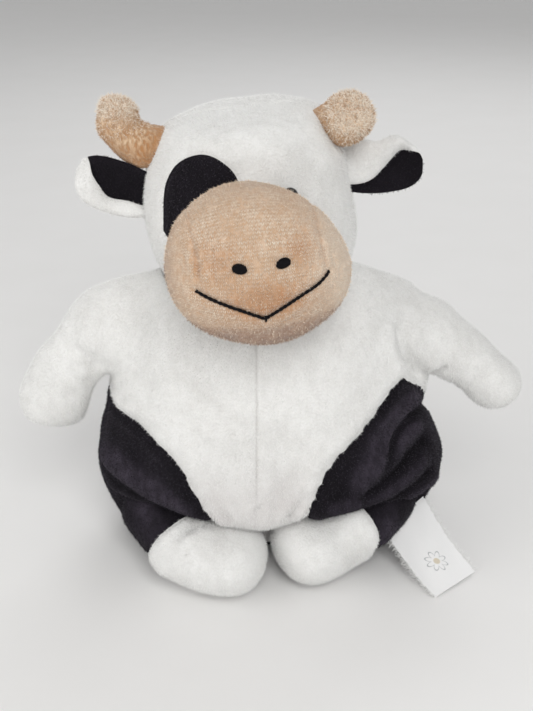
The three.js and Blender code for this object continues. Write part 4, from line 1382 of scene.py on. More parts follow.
    def stitch_seams(self, surface: Surface) -> None:
        """Draws the cloth in along the seams, marks them for painted shade, and marks the belly's front to be
        darker low down.
        """
        x, y, z = surface.points.T
        torso = ramp(-surface.marks["arm"], -2.5, -0.5)
        bib = self.white(surface.points)
        front = ramp(-y, 0, 8)
        centre = np.abs(x - self.stitch - 0.25 * np.sin(z * 0.35))
        back = np.abs(x)
        upper = ramp(z, 38, 50)
        ripple = 1 + 0.3 * np.sin(z * 2.1) * np.cos(x * 1.7)
        dip = (1.3 * bell(bib, 1.2) * torso * ripple + 0.75 * bell(centre, 1.0) * front * upper * torso
               + 0.9 * bell(back, 1.1) * (1 - front) * torso + 0.9 * bell(z, 1.2, self.seat_seam) * torso)
        swell = (0.8 * bell(np.abs(bib), 2.6, 4.0) * torso + 0.35 * bell(centre, 2.2, 3.4) * front * upper * torso
                 + 0.5 * bell(back, 2.4, 3.6) * (1 - front) * torso)
        surface.push(swell - dip)
        # Painted shade along the seams.
        surface.marks["crease"] = np.clip(
            bell(centre, 0.55) * front * upper * torso * 0.75 + bell(bib, 0.7) * torso * 0.5
            + bell(back, 0.55) * (1 - front) * torso * 0.7, 0, 1)
        # Darker towards the bottom of the belly's front.
        surface.marks["soil"] = bell(x, 27, -5) * ramp(-z, -64, -42) * front * torso * 0.9

    def open_neck(self, surface: Surface) -> None:
        """Presses the neck onto the ball of the head."""
        centre = np.array(self.neck)
        reach = surface.points - centre
        distance = np.linalg.norm(reach, axis=1)
        inside = distance < self.neck_radius
        surface.points[inside] = centre + reach[inside] / distance[inside, None] * self.neck_radius

    def blend(self, side: Side) -> Blend:
        """The two bodies of an arm's skin, and where it would bend from the torso."""
        way = np.array([side.value, 0.0, -0.5])
        way /= way @ way
        return Blend(Bodies.TORSO, f"arm_{side.word}", way * self.bend_from, way * self.bend_to)

    def build(self, shop: Workshop) -> Surface:
        """Makes every panel, and returns the whole form for the pieces that lie against it."""
        whole = self.sculpted()
        arms, torso = whole.cut(whole.marks["arm"] - self.arm_seam)
        for side in Side:
            arm = arms.cut(arms.points[:, 0] * side.value)[0]
            shop.skin(arm, f"arm_{side.word}_velour", shop.white, self.blend(side), f"arm_skin_{side.word}")
        upper, seat = torso.cut(torso.points[:, 2] - self.seat_seam)
        shop.skin(seat, "seat_velour", shop.bare_black, Bodies.TORSO, "seat_panel")
        white, hips = upper.cut(upper.marks["bib"])
        strip = white.cut(self.fringe_width - white.marks["bib"])[0]
        shop.nap(strip, "bib_edge_nap", shop.fringe, Bodies.TORSO)
        front, back = white.cut(-white.points[:, 1])
        panels = [("belly", side, half, shop.white) for side, half in front.halves(self.stitch)]
        panels += [("back", side, half, shop.white_back) for side, half in back.halves()]
        for name, side, half, fabric in panels:
            shop.skin(half, f"{name}_{side.word}_velour", fabric, Bodies.TORSO, f"{name}_panel_{side.word}")
        # Painted glints: paler fibre tips over the hips.
        shop.nap(hips, "hip_light_flecks", shop.black_flecks, Bodies.TORSO)
        for side, half in hips.halves():
            shop.skin(half, f"hip_{side.word}_velour", shop.black, Bodies.TORSO, f"hip_panel_{side.word}")
        return whole


@dataclass
class Leg:
    """A leg and its foot: one stuffed limb that comes out from under the hip."""

    side: Side
    hip: Place = (47.0, -20.0, 20.0)
    reach: float = 34.0
    thickness: Mapping[Side, float] = pair(27.0, 25.5)
    bends: Sequence[Place] = ((0.12, -0.26, 0.12), (-0.22, 0.26, -0.04), (-0.7, 0.45, -0.19))
    rise: Mapping[Side, float] = pair(2.5, 7.0)
    heel_rise: Mapping[Side, float] = pair(3.5, 5.0)
    foot_length: Mapping[Side, float] = pair(44.5, 42.0)
    foot_width: float = 36.0
    foot_height: float = 29.5
    between: Mapping[Side, float] = pair(1.7, 3.0)
    forward: Mapping[Side, float] = pair(44.5, 40.0)
    turn: Mapping[Side, float] = pair(17.0, 30.0)
    tuck: float = 5.0
    ankle: Mapping[Side, tuple[Place, Place]] = pair(((-38.6, -36.9, 23.7), (0.544, -0.700, -0.462)),
                                                     ((37.5, -36.0, 27.0), (-0.738, -0.623, -0.263)))
    creases: Mapping[Side, Sequence[Crease]] = pair((
        Crease(((-24, -37, 30), (-29, -41, 27), (-33.5, -43.5, 22.5), (-35.5, -43.5, 18)), 3.2, 2.0, 1.3, fade=5),
        Crease(((-36, -42.5, 17.5), (-37.5, -42.5, 13.5), (-37, -43, 9.5)), 1.6, 1.5, 0.7),
        Crease(((-38.5, -40, 22.5), (-36, -43, 20), (-33, -46, 18)), 1.1, 1.3, 0.5),
    ), ())

    def ends(self) -> tuple[np.ndarray, np.ndarray]:
        """The heel and the toe."""
        side, turn = self.side.value, math.radians(self.turn[self.side])
        toe = np.array([side * self.between[self.side], -self.forward[self.side], self.foot_height / 2 - 0.3])
        heel = toe + self.foot_length[self.side] * np.array([side * math.cos(turn), math.sin(turn), 0])
        return heel + [0, 0, self.heel_rise[self.side]], toe

    def leg_form(self) -> SoftForm:
        """The leg alone."""
        side = self.side.value
        root = np.array(self.hip) * [side, 1, 1] + [0, 0, self.rise[self.side]]
        places = [root + self.reach * np.array([side * out, -forward, up]) for out, forward, up in self.bends]
        return SoftForm(bend(*places), LEG_SHARES, self.thickness[self.side] / 2, (0.0, 0.0, 1.0))

    def foot_form(self) -> SoftForm:
        """The foot alone."""
        return SoftForm(np.array(self.ends()), FOOT_SHARES[self.side], self.foot_width / 2, (0.0, 1.0, 0.0),
                        self.foot_height / self.foot_width)

    def past_ankle(self, points: np.ndarray) -> np.ndarray:
        """How far places lie on the foot's side of the ankle's seam."""
        seam, way = (np.array(v) for v in self.ankle[self.side])
        return (points - seam) @ unit(way)

    def build(self, trunk: Surface, shop: Workshop) -> None:
        """Makes the leg's and the foot's skins."""
        surface = voxel_union([form.surface(64, 60) for form in (self.leg_form(), self.foot_form())], 1.0)
        surface.relax(8)
        surface.push(0.7 * lumps(surface.points, 18, 11 + self.side.value) - 0.7)
        for crease in self.creases[self.side]:
            crease.push(surface)
        past = self.past_ankle(surface.points)
        surface.push(0.6 * bell(np.abs(past), 2.2, 3.4) - 1.0 * bell(past, 1.1))
        # Painted shade in the ankle's seam.
        surface.marks["crease"] = bell(past, 0.7) * 0.5
        surface.lift_to(FLOOR_GAP)
        # Random painted highlight and shade patches over the leg and the foot.
        surface.marks["ridge"] = np.clip(0.55 * lumps(surface.points, 15, 15) + 0.1, -0.4, 1)
        shown = surface.outside(trunk, self.tuck)
        foot, leg = shown.cut(self.past_ankle(shown.points))
        for part, name, fabric in ((leg, "leg", shop.black), (foot, "foot", shop.white)):
            shop.skin(part, f"{name}_{self.side.word}_velour", fabric, f"leg_{self.side.word}",
                      f"{name}_skin_{self.side.word}")


@dataclass(frozen=True)
class HeadFrame:
    """The head's own axes, in which its pieces are drawn."""

    centre: Place = (-6.0, 2.0, 134.0)
    right: Place = (0.99267, 0.06105, 0.10433)
    back: Place = (-0.06071, 0.99813, -0.00638)
    up: Place = (-0.10453, 0.0, 0.99452)

    def place(self, points: np.ndarray) -> np.ndarray:
        """Places of the head in the cow's frame."""
        return np.asarray(self.centre) + points @ np.array([self.right, self.back, self.up])

    def placed(self, surface: Surface) -> Surface:
        """A surface of the head in the cow's frame."""
        return Surface(self.place(surface.points), surface.faces, surface.marks)


HEAD = HeadFrame()


@dataclass
class Head:
    """The head's front, its eye patch, its back and its two eyes."""

    radius: float = 38.0
    crown: float = 42.0
    seam_back: float = 4.0
    nap_room: float = 0.7
    patch: Pairs = (
        (-31.6, 6.0), (-30.6, 12.8), (-29.6, 18.6), (-28.0, 23.2), (-24.9, 27.9), (-21.1, 30.9), (-17.2, 32.3),
        (-13.8, 32.5), (-10.3, 31.4), (-7.0, 29.0), (-4.6, 25.6), (-3.4, 20.0), (-4.6, 13.0), (-9.0, 6.0),
        (-18.0, 1.0), (-27.0, 0.5), (-31.6, 6.0),
    )
    eyes: Mapping[Side, tuple[Place, Place]] = pair(((-17.91, -33.11, 151.90), (-0.285, -0.950, 0.130)),
                                                    ((6.5, -32.1, 152.7), (0.365, -0.910, 0.199)))
    eye_radius: float = 2.9
    dome: float = 2.6
    shank: float = 1.4
    creases: Sequence[Crease] = (
        Crease(((15.6, -28, 34), (15.3, -29.8, 31), (14.3, -32.6, 23.6)), 0.5, 1.1, 0.25),
        Crease(((14, -16, 43.6), (19, -17.5, 41.6), (23, -17, 39)), 1.6, 3.4, 0.0),
    )

    def form(self) -> SoftForm:
        """A ball that is drawn up into a flat-topped barrel."""
        turns = np.linspace(0, math.pi / 2, 7)
        ball = [(self.radius * math.sin(turn), self.radius * (1 - math.cos(turn))) for turn in turns]
        crown = [(out * self.radius, up * self.crown + self.radius) for out, up in CROWN_SHARES]
        shares = np.array(ball + crown) / [self.radius, self.radius + self.crown]
        path = np.array([[0.0, 0.0, -self.radius], [0.0, 0.0, self.crown]])
        return SoftForm(path, shares, self.radius)

    def in_patch(self, points: np.ndarray) -> np.ndarray:
        """How far places lie inside the black patch, which is on the face alone."""
        loop = spline(self.patch, 90)
        x, z = points[:, 0], points[:, 2]
        distance = np.full(len(points), np.inf)
        inside = np.zeros(len(points), bool)
        for (ax, az), (bx, bz) in zip(loop[:-1], loop[1:]):
            step = np.array([bx - ax, bz - az])
            share = np.clip(((x - ax) * step[0] + (z - az) * step[1]) / (step @ step + 1e-9), 0, 1)
            distance = np.minimum(distance, np.hypot(x - ax - share * step[0], z - az - share * step[1]))
            spans = (az > z) != (bz > z)
            inside ^= spans & (x < ax + (z - az) / np.where(spans, bz - az, 1) * (bx - ax))
        return np.where(points[:, 1] < 0, np.where(inside, distance, -distance), -30.0)

    def build(self, shop: Workshop) -> Surface:
        """Makes the head's panels and eyes, and returns its form in its own axes."""
        surface = self.form().surface(250, 200)
        surface.push(0.9 * lumps(surface.points, 24, 21) + 0.35 * lumps(surface.points, 9, 22) - self.nap_room)
        x, _, z = surface.points.T
        surface.push(1.1 * bell(z, 22, -6) * ramp(-x, 18, 34) + 0.6 * ramp(z, 28, 40) * ramp(-x, 8, 26))
        for crease in self.creases:
            crease.push(surface)
        behind, patch = surface.points[:, 1] - self.seam_back, self.in_patch(surface.points)
        surface.push(0.15 * bell(np.abs(behind), 2.2, 3.2) - 0.45 * bell(behind, 1.0) - 0.55 * bell(patch, 0.9))
        # Painted shade along the back seam and round the eye patch.
        surface.marks["crease"] = np.clip(bell(behind, 0.55) * 0.35 + bell(patch, 0.5) * 0.3, 0, 1)
        back, front = surface.cut(surface.points[:, 1] - self.seam_back)
        black, white = front.cut(self.in_patch(front.points))
        # Painted glints: paler fibre tips over the eye patch.
        shop.nap(HEAD.placed(black), "eye_patch_light_flecks", shop.black_flecks, Bodies.HEAD)
        for part, node, fabric in ((white, "head_front", shop.white), (black, "eye_patch", shop.black),
                                   (back, "head_back", shop.white_back)):
            shop.skin(HEAD.placed(part), f"{node}_velour", fabric, Bodies.HEAD, node)
        for side in Side:
            shop.piece(self.eye(side), f"eye_{side.word}_dome", shop.eye, Bodies.HEAD, f"eye_{side.word}")
        return surface

    def eye(self, side: Side) -> Surface:
        """One domed eye on its shank."""
        place, way = (np.array(v) for v in self.eyes[side])
        way = unit(way)
        turns = np.linspace(0, math.pi / 2, 10)[1:-1]
        rim = [(self.shank, -6.0), (self.shank, -0.5), (self.eye_radius * 0.94, -0.5), (self.eye_radius, 0.0)]
        dome = [(self.eye_radius * math.cos(turn), self.dome * math.sin(turn)) for turn in turns]
        outline = np.array([(0.0, -6.0), *rim, *dome, (0.0, self.dome)])
        across = unit(np.cross(way, [0.0, 0.0, 1.0]))
        return grid_surface(rings(place + way * outline[:, 1:2], outline[:, 0], across[None],
                                  np.cross(across, way)[None], 40))


@dataclass
class Muzzle:
    """The big muzzle: a middle panel and a wrap round it, two nostrils and a stitched mouth."""

    half_width: float = 30.8
    height: float = 54.0
    depth: float = 45.0
    reach: float = 54.5
    lift: float = 2.9
    bridge: float = 19.4
    tuck: float = 1.0
    mouth_depth: float = 74.5
    nostrils: Mapping[Side, tuple[float, float]] = pair((-6.9, 8.8), (6.3, 9.0))
    nostril_size: tuple[float, float] = (4.3, 3.3)
    mouth: Pairs = (
        (-21.0, 1.9), (-18.0, 0.1), (-14.1, -1.8), (-8.1, -4.5), (-3.5, -6.8), (-1.0, -8.0), (1.2, -7.1),
        (6.3, -4.6), (10.8, -2.4), (15.3, -0.5), (17.9, 1.0), (20.2, 3.0),
    )
    thread: float = 0.34
    creases: Sequence[Crease] = (
        Crease(((20, -70.5, 6.5), (19.4, -70.5, 12), (17, -70.5, 18), (15.5, -68, 23)), 1.1, 1.0, 0.45),
        Crease(((23, -68, 3), (22, -69, 9), (22.6, -67, 14.5)), 0.8, 0.9, 0.4),
        Crease(((-20.3, -70, 3.5), (-19.6, -70.5, 10), (-20.6, -67.5, 17)), 0.9, 0.9, 0.4),
        Crease(((-16, -72, 13), (-13.5, -71.5, 18.5), (-14.5, -69.5, 23)), 0.6, 0.9, 0.3),
    )

    def form(self) -> SoftForm:
        """An oval bun on the face, pushed over to the left at its top."""

        def pushed(grid: np.ndarray) -> np.ndarray:
            """Moves the top of the bun over."""
            shift = 1.6 + 3.6 * ramp(grid[..., 0], -22, 22)
            grid[..., 0] -= shift * ramp(grid[..., 2], 0, 24)
            drawn = bell(grid[..., 2], 15, 6)
            grid[..., 0] -= 2.2 * drawn * ramp(grid[..., 0], 6, 30)
            return grid

        path = np.array([[0.0, half - self.reach, self.lift] for half in (self.depth / 2, -self.depth / 2)])
        return SoftForm(path, MUZZLE_SHARES, self.half_width, flatten=self.height / 2 / self.half_width,
                        shape=pushed)

    def in_bridge(self, points: np.ndarray) -> np.ndarray:
        """How far places lie inside the middle panel."""
        x, _, z = points.T
        low = np.interp(x, *np.array(self.mouth).T)
        return np.minimum(self.bridge - np.abs(x + 1.5 * ramp(z, 0, 24)), z - low)

    def front_of(self, surface: Surface, places: Pairs) -> np.ndarray:
        """Places across and up on the muzzle's front, with the surface's own depth."""
        tree, ahead = surface.tree(), Vector((0.0, 1.0, 0.0))
        return np.array([tree.ray_cast(Vector((x, -200.0, z)), ahead)[0][:] for x, z in places])

    def sculpted(self) -> Surface:
        """The whole bun with its seams, creases and marks for the finish."""
        surface = self.form().surface(260, 180)
        surface.push(0.7 * lumps(surface.points, 20, 31) - 0.6)
        x, y, z = surface.points.T
        bridge = self.in_bridge(surface.points)
        front = ramp(-y, 38, 60)
        upright = ramp(z, 2.5, 8)
        groove = bell(bridge, 0.8) * upright
        surface.push((0.15 * bell(np.abs(bridge), 1.8, 2.4) * upright - 0.5 * groove) * (0.3 + 0.7 * front))
        for crease in self.creases:
            crease.push(surface)
        for nostril_x, nostril_z in self.nostrils.values():
            surface.push(-0.9 * bell(np.hypot(x - nostril_x, z - nostril_z) / 3.6, 1.0) * front)
        line = Line([(across, -self.mouth_depth, up) for across, up in self.mouth])
        flat = surface.points.copy()
        flat[:, 1] = -self.mouth_depth
        distance = line.nearest(flat)[0]
        surface.push((-0.7 * bell(distance, 1.1) + 0.3 * bell(distance, 1.8, 3)) * front)
        x, y, z = surface.points.T
        # Painted shade in the groove of the middle panel's seam.
        surface.marks["crease"] = groove * 0.5 * front
        surface.marks["column"] = 31 * np.arctan2(x, -(y + 45))
        surface.marks["row"] = 29 * np.arctan2(z - self.lift, -(y + 45))
        worn = 0.95 * bell(x, 14) * bell(z, 6.5, -2.5) + 0.6 * bell(x, 5, 12) * bell(z, 5, 12)
        worn += 0.5 * bell(x, 7, -13) * bell(z, 7, 11)
        surface.marks["warm"] = np.clip(worn * front * 1.15, 0, 1)
        # The lower rim and the far sides are greyer, and the lower rim is also painted darker as shade.
        surface.marks["grey"] = np.clip(ramp(-z, 6, 18) + ramp(x, 22, 30) * 0.2 + ramp(-x, 25, 30) * 0.45, 0, 1)
        # Paler on the upper right side: partly its own tone, partly painted light where the light falls.
        surface.marks["pale"] = ramp(x, 10, 28) * ramp(z, -22, -4)
        return surface

    def build(self, head: Surface, shop: Workshop) -> None:
        """Makes the muzzle's two skins, its nostrils and its mouth."""
        surface = self.sculpted()
        shown = surface.outside(head, self.tuck)
        for part, node in zip(shown.cut(self.in_bridge(shown.points)), ("muzzle_bridge", "muzzle_wrap")):
            shop.skin(HEAD.placed(part), f"{node}_knit", shop.muzzle, Bodies.HEAD, node)
        # The lower rim gets the darker fibres, which hold painted shade as well as its greyer tone.
        low, high = shown.cut(shown.marks["grey"] - 0.45)
        for part, name, nap in ((high, "muzzle_nap", shop.muzzle_nap), (low, "muzzle_low_nap", shop.muzzle_low),
                                (shown, "muzzle_light_flecks", shop.muzzle_flecks)):
            shop.nap(HEAD.placed(part), name, nap, Bodies.HEAD)
        for side in Side:
            shop.piece(HEAD.placed(self.nostril(surface, side)), f"nostril_{side.word}_stitches", shop.thread,
                       Bodies.HEAD, f"nostril_{side.word}")
        shop.piece(HEAD.placed(self.mouth_thread(surface)), "mouth_thread", shop.thread, Bodies.HEAD,
                   "mouth_stitching")

    def nostril(self, surface: Surface, side: Side) -> Surface:
        """Rows of satin stitch that fill a nostril."""
        x, z = self.nostrils[side]
        width, height = self.nostril_size
        steps = np.linspace(-1, 1, 9)
        girth = np.array([0.14, 0.24, 0.27, 0.28, 0.28, 0.28, 0.27, 0.24, 0.14])
        rows = []
        for row in np.linspace(-0.88, 0.88, 11):
            half, tilt = height / 2 * math.sqrt(1 - row**2), 0.25 * side.value
            across = x + row * width / 2
            path = self.front_of(surface, [(across + t * half * tilt, z + t * half) for t in steps])
            path[:, 1] -= 0.25 + 0.75 * np.sqrt(np.maximum(1 - steps**2, 0))
            rows.append(tube(path, girth, 7))
        return joined(rows)

    def mouth_thread(self, surface: Surface) -> Surface:
        """A twisted thread along the mouth, caught down at its lowest point."""
        path = self.front_of(surface, spline(self.mouth, 120))
        path[:, 1] -= 0.42 + 0.12 * np.abs(np.sin(np.linspace(0, 14 * math.pi, len(path))))
        tangent = unit(np.gradient(path, axis=0))
        side = unit(np.cross(tangent, [0.0, 1.0, 0.0]))
        up = np.cross(side, tangent)
        turn = np.linspace(0, 2 * math.pi * 15, len(path))[:, None]
        strands = []
        for start in (0.0, math.pi):
            offset = self.thread * 0.62 * (np.cos(turn + start) * side + np.sin(turn + start) * up)
            strands.append(tube(evenly(path + offset, 300), self.thread, 7))
        catch = [(0.0, -0.35, 0.9), (0.1, -0.75, 0.3), (0.0, -0.7, -0.4), (-0.1, -0.1, -1.0)]
        knot = path[np.argmin(path[:, 2])] + np.array(catch)
        return joined([*strands, tube(spline(knot, 20), self.thread, 7)])


@dataclass
class Horn:
    """A stuffed horn of shaggy knit; the right one bends forward, over its own root."""

    side: Side
    bends: Mapping[Side, Sequence[Place]] = pair(((-21.0, 0.0, 29.0), (-48.0, 0.0, 29.5), (-42.0, 0.0, 50.0)),
                                                 ((18.0, -4.0, 29.0), (36.5, -9.0, 32.8), (37.4, -20.0, 40.2)))
    thickness: float = 17.5
    tuck: float = 1.0
    shaggy: Mapping[Side, float] = pair(15.5, 13.0)
    wispy: float = 9.5

    def path(self) -> np.ndarray:
        """The horn's axis."""
        return bend(*self.bends[self.side])

    def from_tip(self, surface: Surface) -> np.ndarray:
        """How far a surface's points lie from the axis's end."""
        return np.linalg.norm(surface.points - self.path()[-1], axis=1)

    def build(self, head: Surface, shop: Workshop) -> None:
        """Makes the horn's skin and its shaggy fibres."""
        form = SoftForm(self.path(), HORN_SHARES[self.side], self.thickness / 2, (0.0, 1.0, 0.0))
        surface = form.surface(90, 90)
        surface.push(0.6 * lumps(surface.points, 8, 41 + self.side.value) - 0.4)
        away = distances(surface.points, head)
        tip = self.from_tip(surface)
        # Painted shade where the horn meets the head.
        surface.marks["crease"] = bell(away, 1.2) * 0.6
        surface.marks["grey"] = ramp(-tip, -15, -6)
        surface.marks["warm"] = np.clip(0.85 * ramp(tip, 11, 21) + 0.3 * lumps(surface.points, 7, 44), 0, 1)
        surface.push(-0.8 * bell(away, 1.6))
        shown = surface.outside(head, self.tuck)
        name = f"horn_{self.side.word}"
        shop.skin(HEAD.placed(shown), f"{name}_knit", shop.horn, Bodies.HEAD, name)
        shaggy, smooth = shown.cut(self.shaggy[self.side] - self.from_tip(shown))
        top = shown.cut(self.wispy - self.from_tip(shown))[0]
        for part, kind, nap in ((shaggy, "nap", shop.horn_nap), (shaggy, "light_flecks", shop.flecks),
                                (smooth, "stub_nap", shop.stub), (top, "tip_wisps", shop.wisps)):
            shop.nap(HEAD.placed(part), f"{name}_{kind}", nap, Bodies.HEAD)


@dataclass
class Ear:
    """An ear of two layers: a white back whose rim rolls forward over a black lining."""

    side: Side
    length: float = 26.0
    width: float = 20.0
    thickness: float = 4.6
    cup: float = 4.0
    root_radius: float = 4.4
    skin: float = 0.6
    height: float = 14.0
    tuck: float = 1.6
    dip: Mapping[Side, float] = pair(0.0, 0.17)
    lift: Mapping[Side, float] = pair(26.0, 1.0)
    fold: Mapping[Side, float] = pair(-4.0, 20.0)
    lining: Mapping[Side, Pairs] = pair(
        ((-0.2, -0.45), (0.05, -0.43), (0.2, -0.38), (0.48, -0.45), (0.64, -0.2), (0.78, 0.15), (0.87, 0.75),
         (0.93, 1.15), (1.0, 1.4)),
        ((-0.2, -0.7), (0.05, -0.64), (0.25, -0.48), (0.45, -0.08), (0.66, 0.4), (0.8, 0.52), (0.92, 0.62),
         (1.0, 0.75)))
    roll: Mapping[Side, float] = pair(1.8, 2.6)

    def flat(self) -> Surface:
        """The ear as it lies before it is folded and lifted, with its lining marked."""
        side = self.side.value
        path = np.array([[-side * self.root_radius, 0.0, 0.0], [side * self.length, 0.0, 0.0]])
        form = SoftForm(path, EAR_SHARES, self.width / 2, (0.0, 0.0, 1.0), self.thickness / self.width)
        flat = form.surface(110, 80)
        x, y, z = flat.points.T
        along = x * side / self.length
        outline = spline(np.asarray(EAR_SHARES) * [self.width / 2, self.length + self.root_radius], 300)
        half = np.maximum(np.interp(x * side + self.root_radius, outline[:, 1], outline[:, 0]), 0.6)
        across = np.clip(z / half, -1, 1)
        edge = table(self.lining[self.side], along)
        inside = (across - edge if self.side is Side.LEFT else edge - across) * half
        rolled = (across + 1) / (edge + 1) if self.side is Side.LEFT else (1 - across) / (1 - edge)
        bulge = np.sin(np.pi * np.clip(rolled, 0, 1)) ** 0.8 * (inside < 0) * ramp(-along, -0.92, -0.72)
        front = ramp(-y, -0.2, 0.5)
        flat.marks["lining"] = np.minimum(inside, 0.9 - y * 2.0)
        # Painted shade along the edge of the lining, on the front.
        flat.marks["crease"] = bell(inside, 0.7) * front * 0.6
        y = y - self.roll[self.side] * bulge * front + 0.7 * ramp(inside, 0, 1.5) * ramp(-y, 0.5, 1.8)
        y = y - self.cup * (z / (self.width / 2)) ** 2 + 0.5 * lumps(flat.points, 12, 50 + side)
        drawn = self.dip[self.side] * (bell(along, 0.13, 0.4) + 2.0 * ramp(along, 0.62, 1.0))
        flat.points = np.stack([x, y, np.where(z > 0, z * (1 - drawn), z)], -1)
        return flat

    def build(self, skull: Surface, head: Head, shop: Workshop) -> None:
        """Makes the ear's white back and its black lining."""
        side = self.side.value
        ear = self.flat()
        x, y, z = ear.points.T
        fold, lift = -math.radians(self.fold[self.side]), -side * math.radians(self.lift[self.side])
        y, z = y * math.cos(fold) - z * math.sin(fold), y * math.sin(fold) + z * math.cos(fold)
        x, z = x * math.cos(lift) + z * math.sin(lift), -x * math.sin(lift) + z * math.cos(lift)
        crown = np.array(((1, 0), *CROWN_SHARES)) * [head.radius, head.crown + 2]
        profile = spline(crown, 200)
        root = np.array([side * np.interp(self.height, profile[:, 1], profile[:, 0]), 0.0, self.height])
        ear.points = np.stack([x, y, z], -1) + root
        shown = ear.outside(skull, self.tuck)
        black, white = shown.cut(shown.marks.pop("lining"))
        word = self.side.word
        start, end = (HEAD.place(root + [side * out, 0, 0]) for out in (0.5, 7.0))
        carrier = Blend(Bodies.HEAD, f"ear_{word}", start, end)
        for part, layer, fabric in ((white, "back", shop.white), (black, "lining", shop.black)):
            shop.skin(HEAD.placed(part), f"ear_{word}_{layer}_velour", fabric, carrier, f"ear_{layer}_{word}",
                      None, self.skin)


@dataclass
class Tail:
    """A short tail with a tuft of black strands."""

    root: Place = (0.0, 45.73, 54.0)
    out: float = 7.0
    drop: float = 30.0
    thickness: float = 8.0
    tuft_length: float = 20.0
    tuft_width: float = 14.0
    strands: int = 9
    skin: float = 1.0
    tuck: float = 1.5

    def build(self, trunk: Surface, shop: Workshop) -> None:
        """Makes the tail's cord and its tuft."""
        root = np.array(self.root)
        end = root + [0, self.out, -self.drop]
        path = bend(root, root + [0, self.out + self.thickness / 2, 0], end)
        cord = SoftForm(path, TAIL_SHARES, self.thickness / 2).surface(40, 60)
        cord.push(0.2 * lumps(cord.points, 8, 61) - 0.5)
        blend = Blend(Bodies.TORSO, Bodies.TAIL, root, root + [0, 9.0, -6.0])
        shown = cord.outside(trunk, self.tuck)
        shop.skin(shown, "tail_cord_velour", shop.white_back, blend, "tail_cord", None, self.skin)
        top = end + [0, 0, self.thickness / 2]
        line = np.array([top, top - [0, 0, self.tuft_length]])
        tuft = SoftForm(line, TUFT_SHARES, self.tuft_width / 2).surface(72, 40)
        x, y, z = (tuft.points - [top[0], top[1], 0.0]).T
        strands = np.sin(np.arctan2(y, x) * self.strands + z * 0.3)
        tuft.push(0.8 * strands * ramp(-z, -(top[2] - 2), -(top[2] - 8)) - 0.5)
        shop.skin(tuft, "tail_tuft_velour", shop.tuft, Bodies.TAIL, "tail_tuft", None, self.skin)


@dataclass
class Label:
    """The sewn-in label: a folded satin ribbon that twists down to the floor."""

    root: Place = (54.5, -17.0, 17.0)
    tip: Place = (71.0, -38.0, 1.4)
    width: float = 23.5
    turn: float = 42.0
    tilt: float = 13.5
    bow: float = 1.6
    thickness: float = 0.45
    sewn_in: float = 3.0
    columns: int = 45
    rows: int = 61

    def across(self, tilt: float) -> np.ndarray:
        """The direction across the ribbon at a tilt in degrees."""
        turn, rise = math.radians(self.turn), math.radians(tilt)
        return np.array([math.cos(turn) * math.cos(rise), math.sin(turn) * math.cos(rise), math.sin(rise)])

    def ribbon(self, rng: np.random.Generator) -> tuple[np.ndarray, np.ndarray, float]:
        """The ribbon as a grid of points, its long direction, and its length."""
        root, tip = np.array(self.root), np.array(self.tip)
        reach = float(np.linalg.norm(tip - root))
        along = (tip - root) / reach
        length = reach + self.sewn_in
        grid = np.empty((self.rows, self.columns, 3))
        for i, share in enumerate(np.linspace(0, 1, self.rows)):
            across = self.across(self.tilt * (1 - share))
            up = unit(np.cross(across, along))
            ripple = self.bow * math.sin(math.pi * share)
            for j, part in enumerate(np.linspace(-0.5, 0.5, self.columns)):
                curl = 0.5 * math.cos(part * 9 + share * 4) * math.sin(math.pi * share)
                ragged = (rng.uniform(-0.25, 0.25) if j in (0, self.columns - 1) else 0.0)
                grid[i, j] = (root + along * (share * length - self.sewn_in) + up * (ripple + curl)
                              + across * (part * self.width + ragged))
        return grid, along, length

    def threads(self, grid: np.ndarray, along: np.ndarray, rng: np.random.Generator) -> Surface:
        """The loose threads along both cut edges."""
        threads = []
        steps = np.linspace(0, 1, 4)[:, None]
        for edge, sign in ((0, -1), (self.columns - 1, 1)):
            for i in range(2, self.rows - 2):
                for _ in range(5):
                    base = grid[i, edge] + along * rng.uniform(-0.3, 0.3)
                    out = self.across(self.tilt * (1 - i / self.rows)) * sign
                    stray = unit(out + rng.normal(size=3) * 0.5) * rng.uniform(0.5, 2.9)
                    path = base + steps * stray + steps**2 * along * rng.uniform(-0.7, 0.7)
                    path[:, 2] = np.maximum(path[:, 2], 0.2)
                    threads.append(tube(path, 0.06, 3))
        return joined(threads)

    def build(self, shop: Workshop) -> None:
        """Makes the ribbon and the loose threads along its cut edges."""
        rng = np.random.default_rng(7)
        grid, along, length = self.ribbon(rng)
        index = np.arange(self.rows * self.columns).reshape(self.rows, self.columns)
        faces = quads(index[:-1, :-1], index[:-1, 1:], index[1:, 1:], index[1:, :-1])
        ribbon = Surface(grid.reshape(-1, 3), faces)
        if ribbon.normals()[:, 2].mean() < 0:
            ribbon.faces = ribbon.faces[:, ::-1].copy()
        ribbon.lift_to(0.55)
        middle = grid[int(self.rows * 0.66), self.columns // 2]
        satin = Satin("label_satin", tuple(middle), tuple(along), tuple(self.across(self.tilt * 0.33))).material()
        piece = shop.piece(ribbon.shell(self.thickness), "label_ribbon", Fabric(satin, "label_satin"),
                           Bodies.LABEL, "care_label")
        ends = Fabric(pile("label_thread_ends", (0.84, 0.84, 0.83)), "label_satin")
        fringe = shop.piece(self.threads(grid, along, rng), "label_loose_threads", ends, Bodies.LABEL)
        self.width * MM
        length * MM


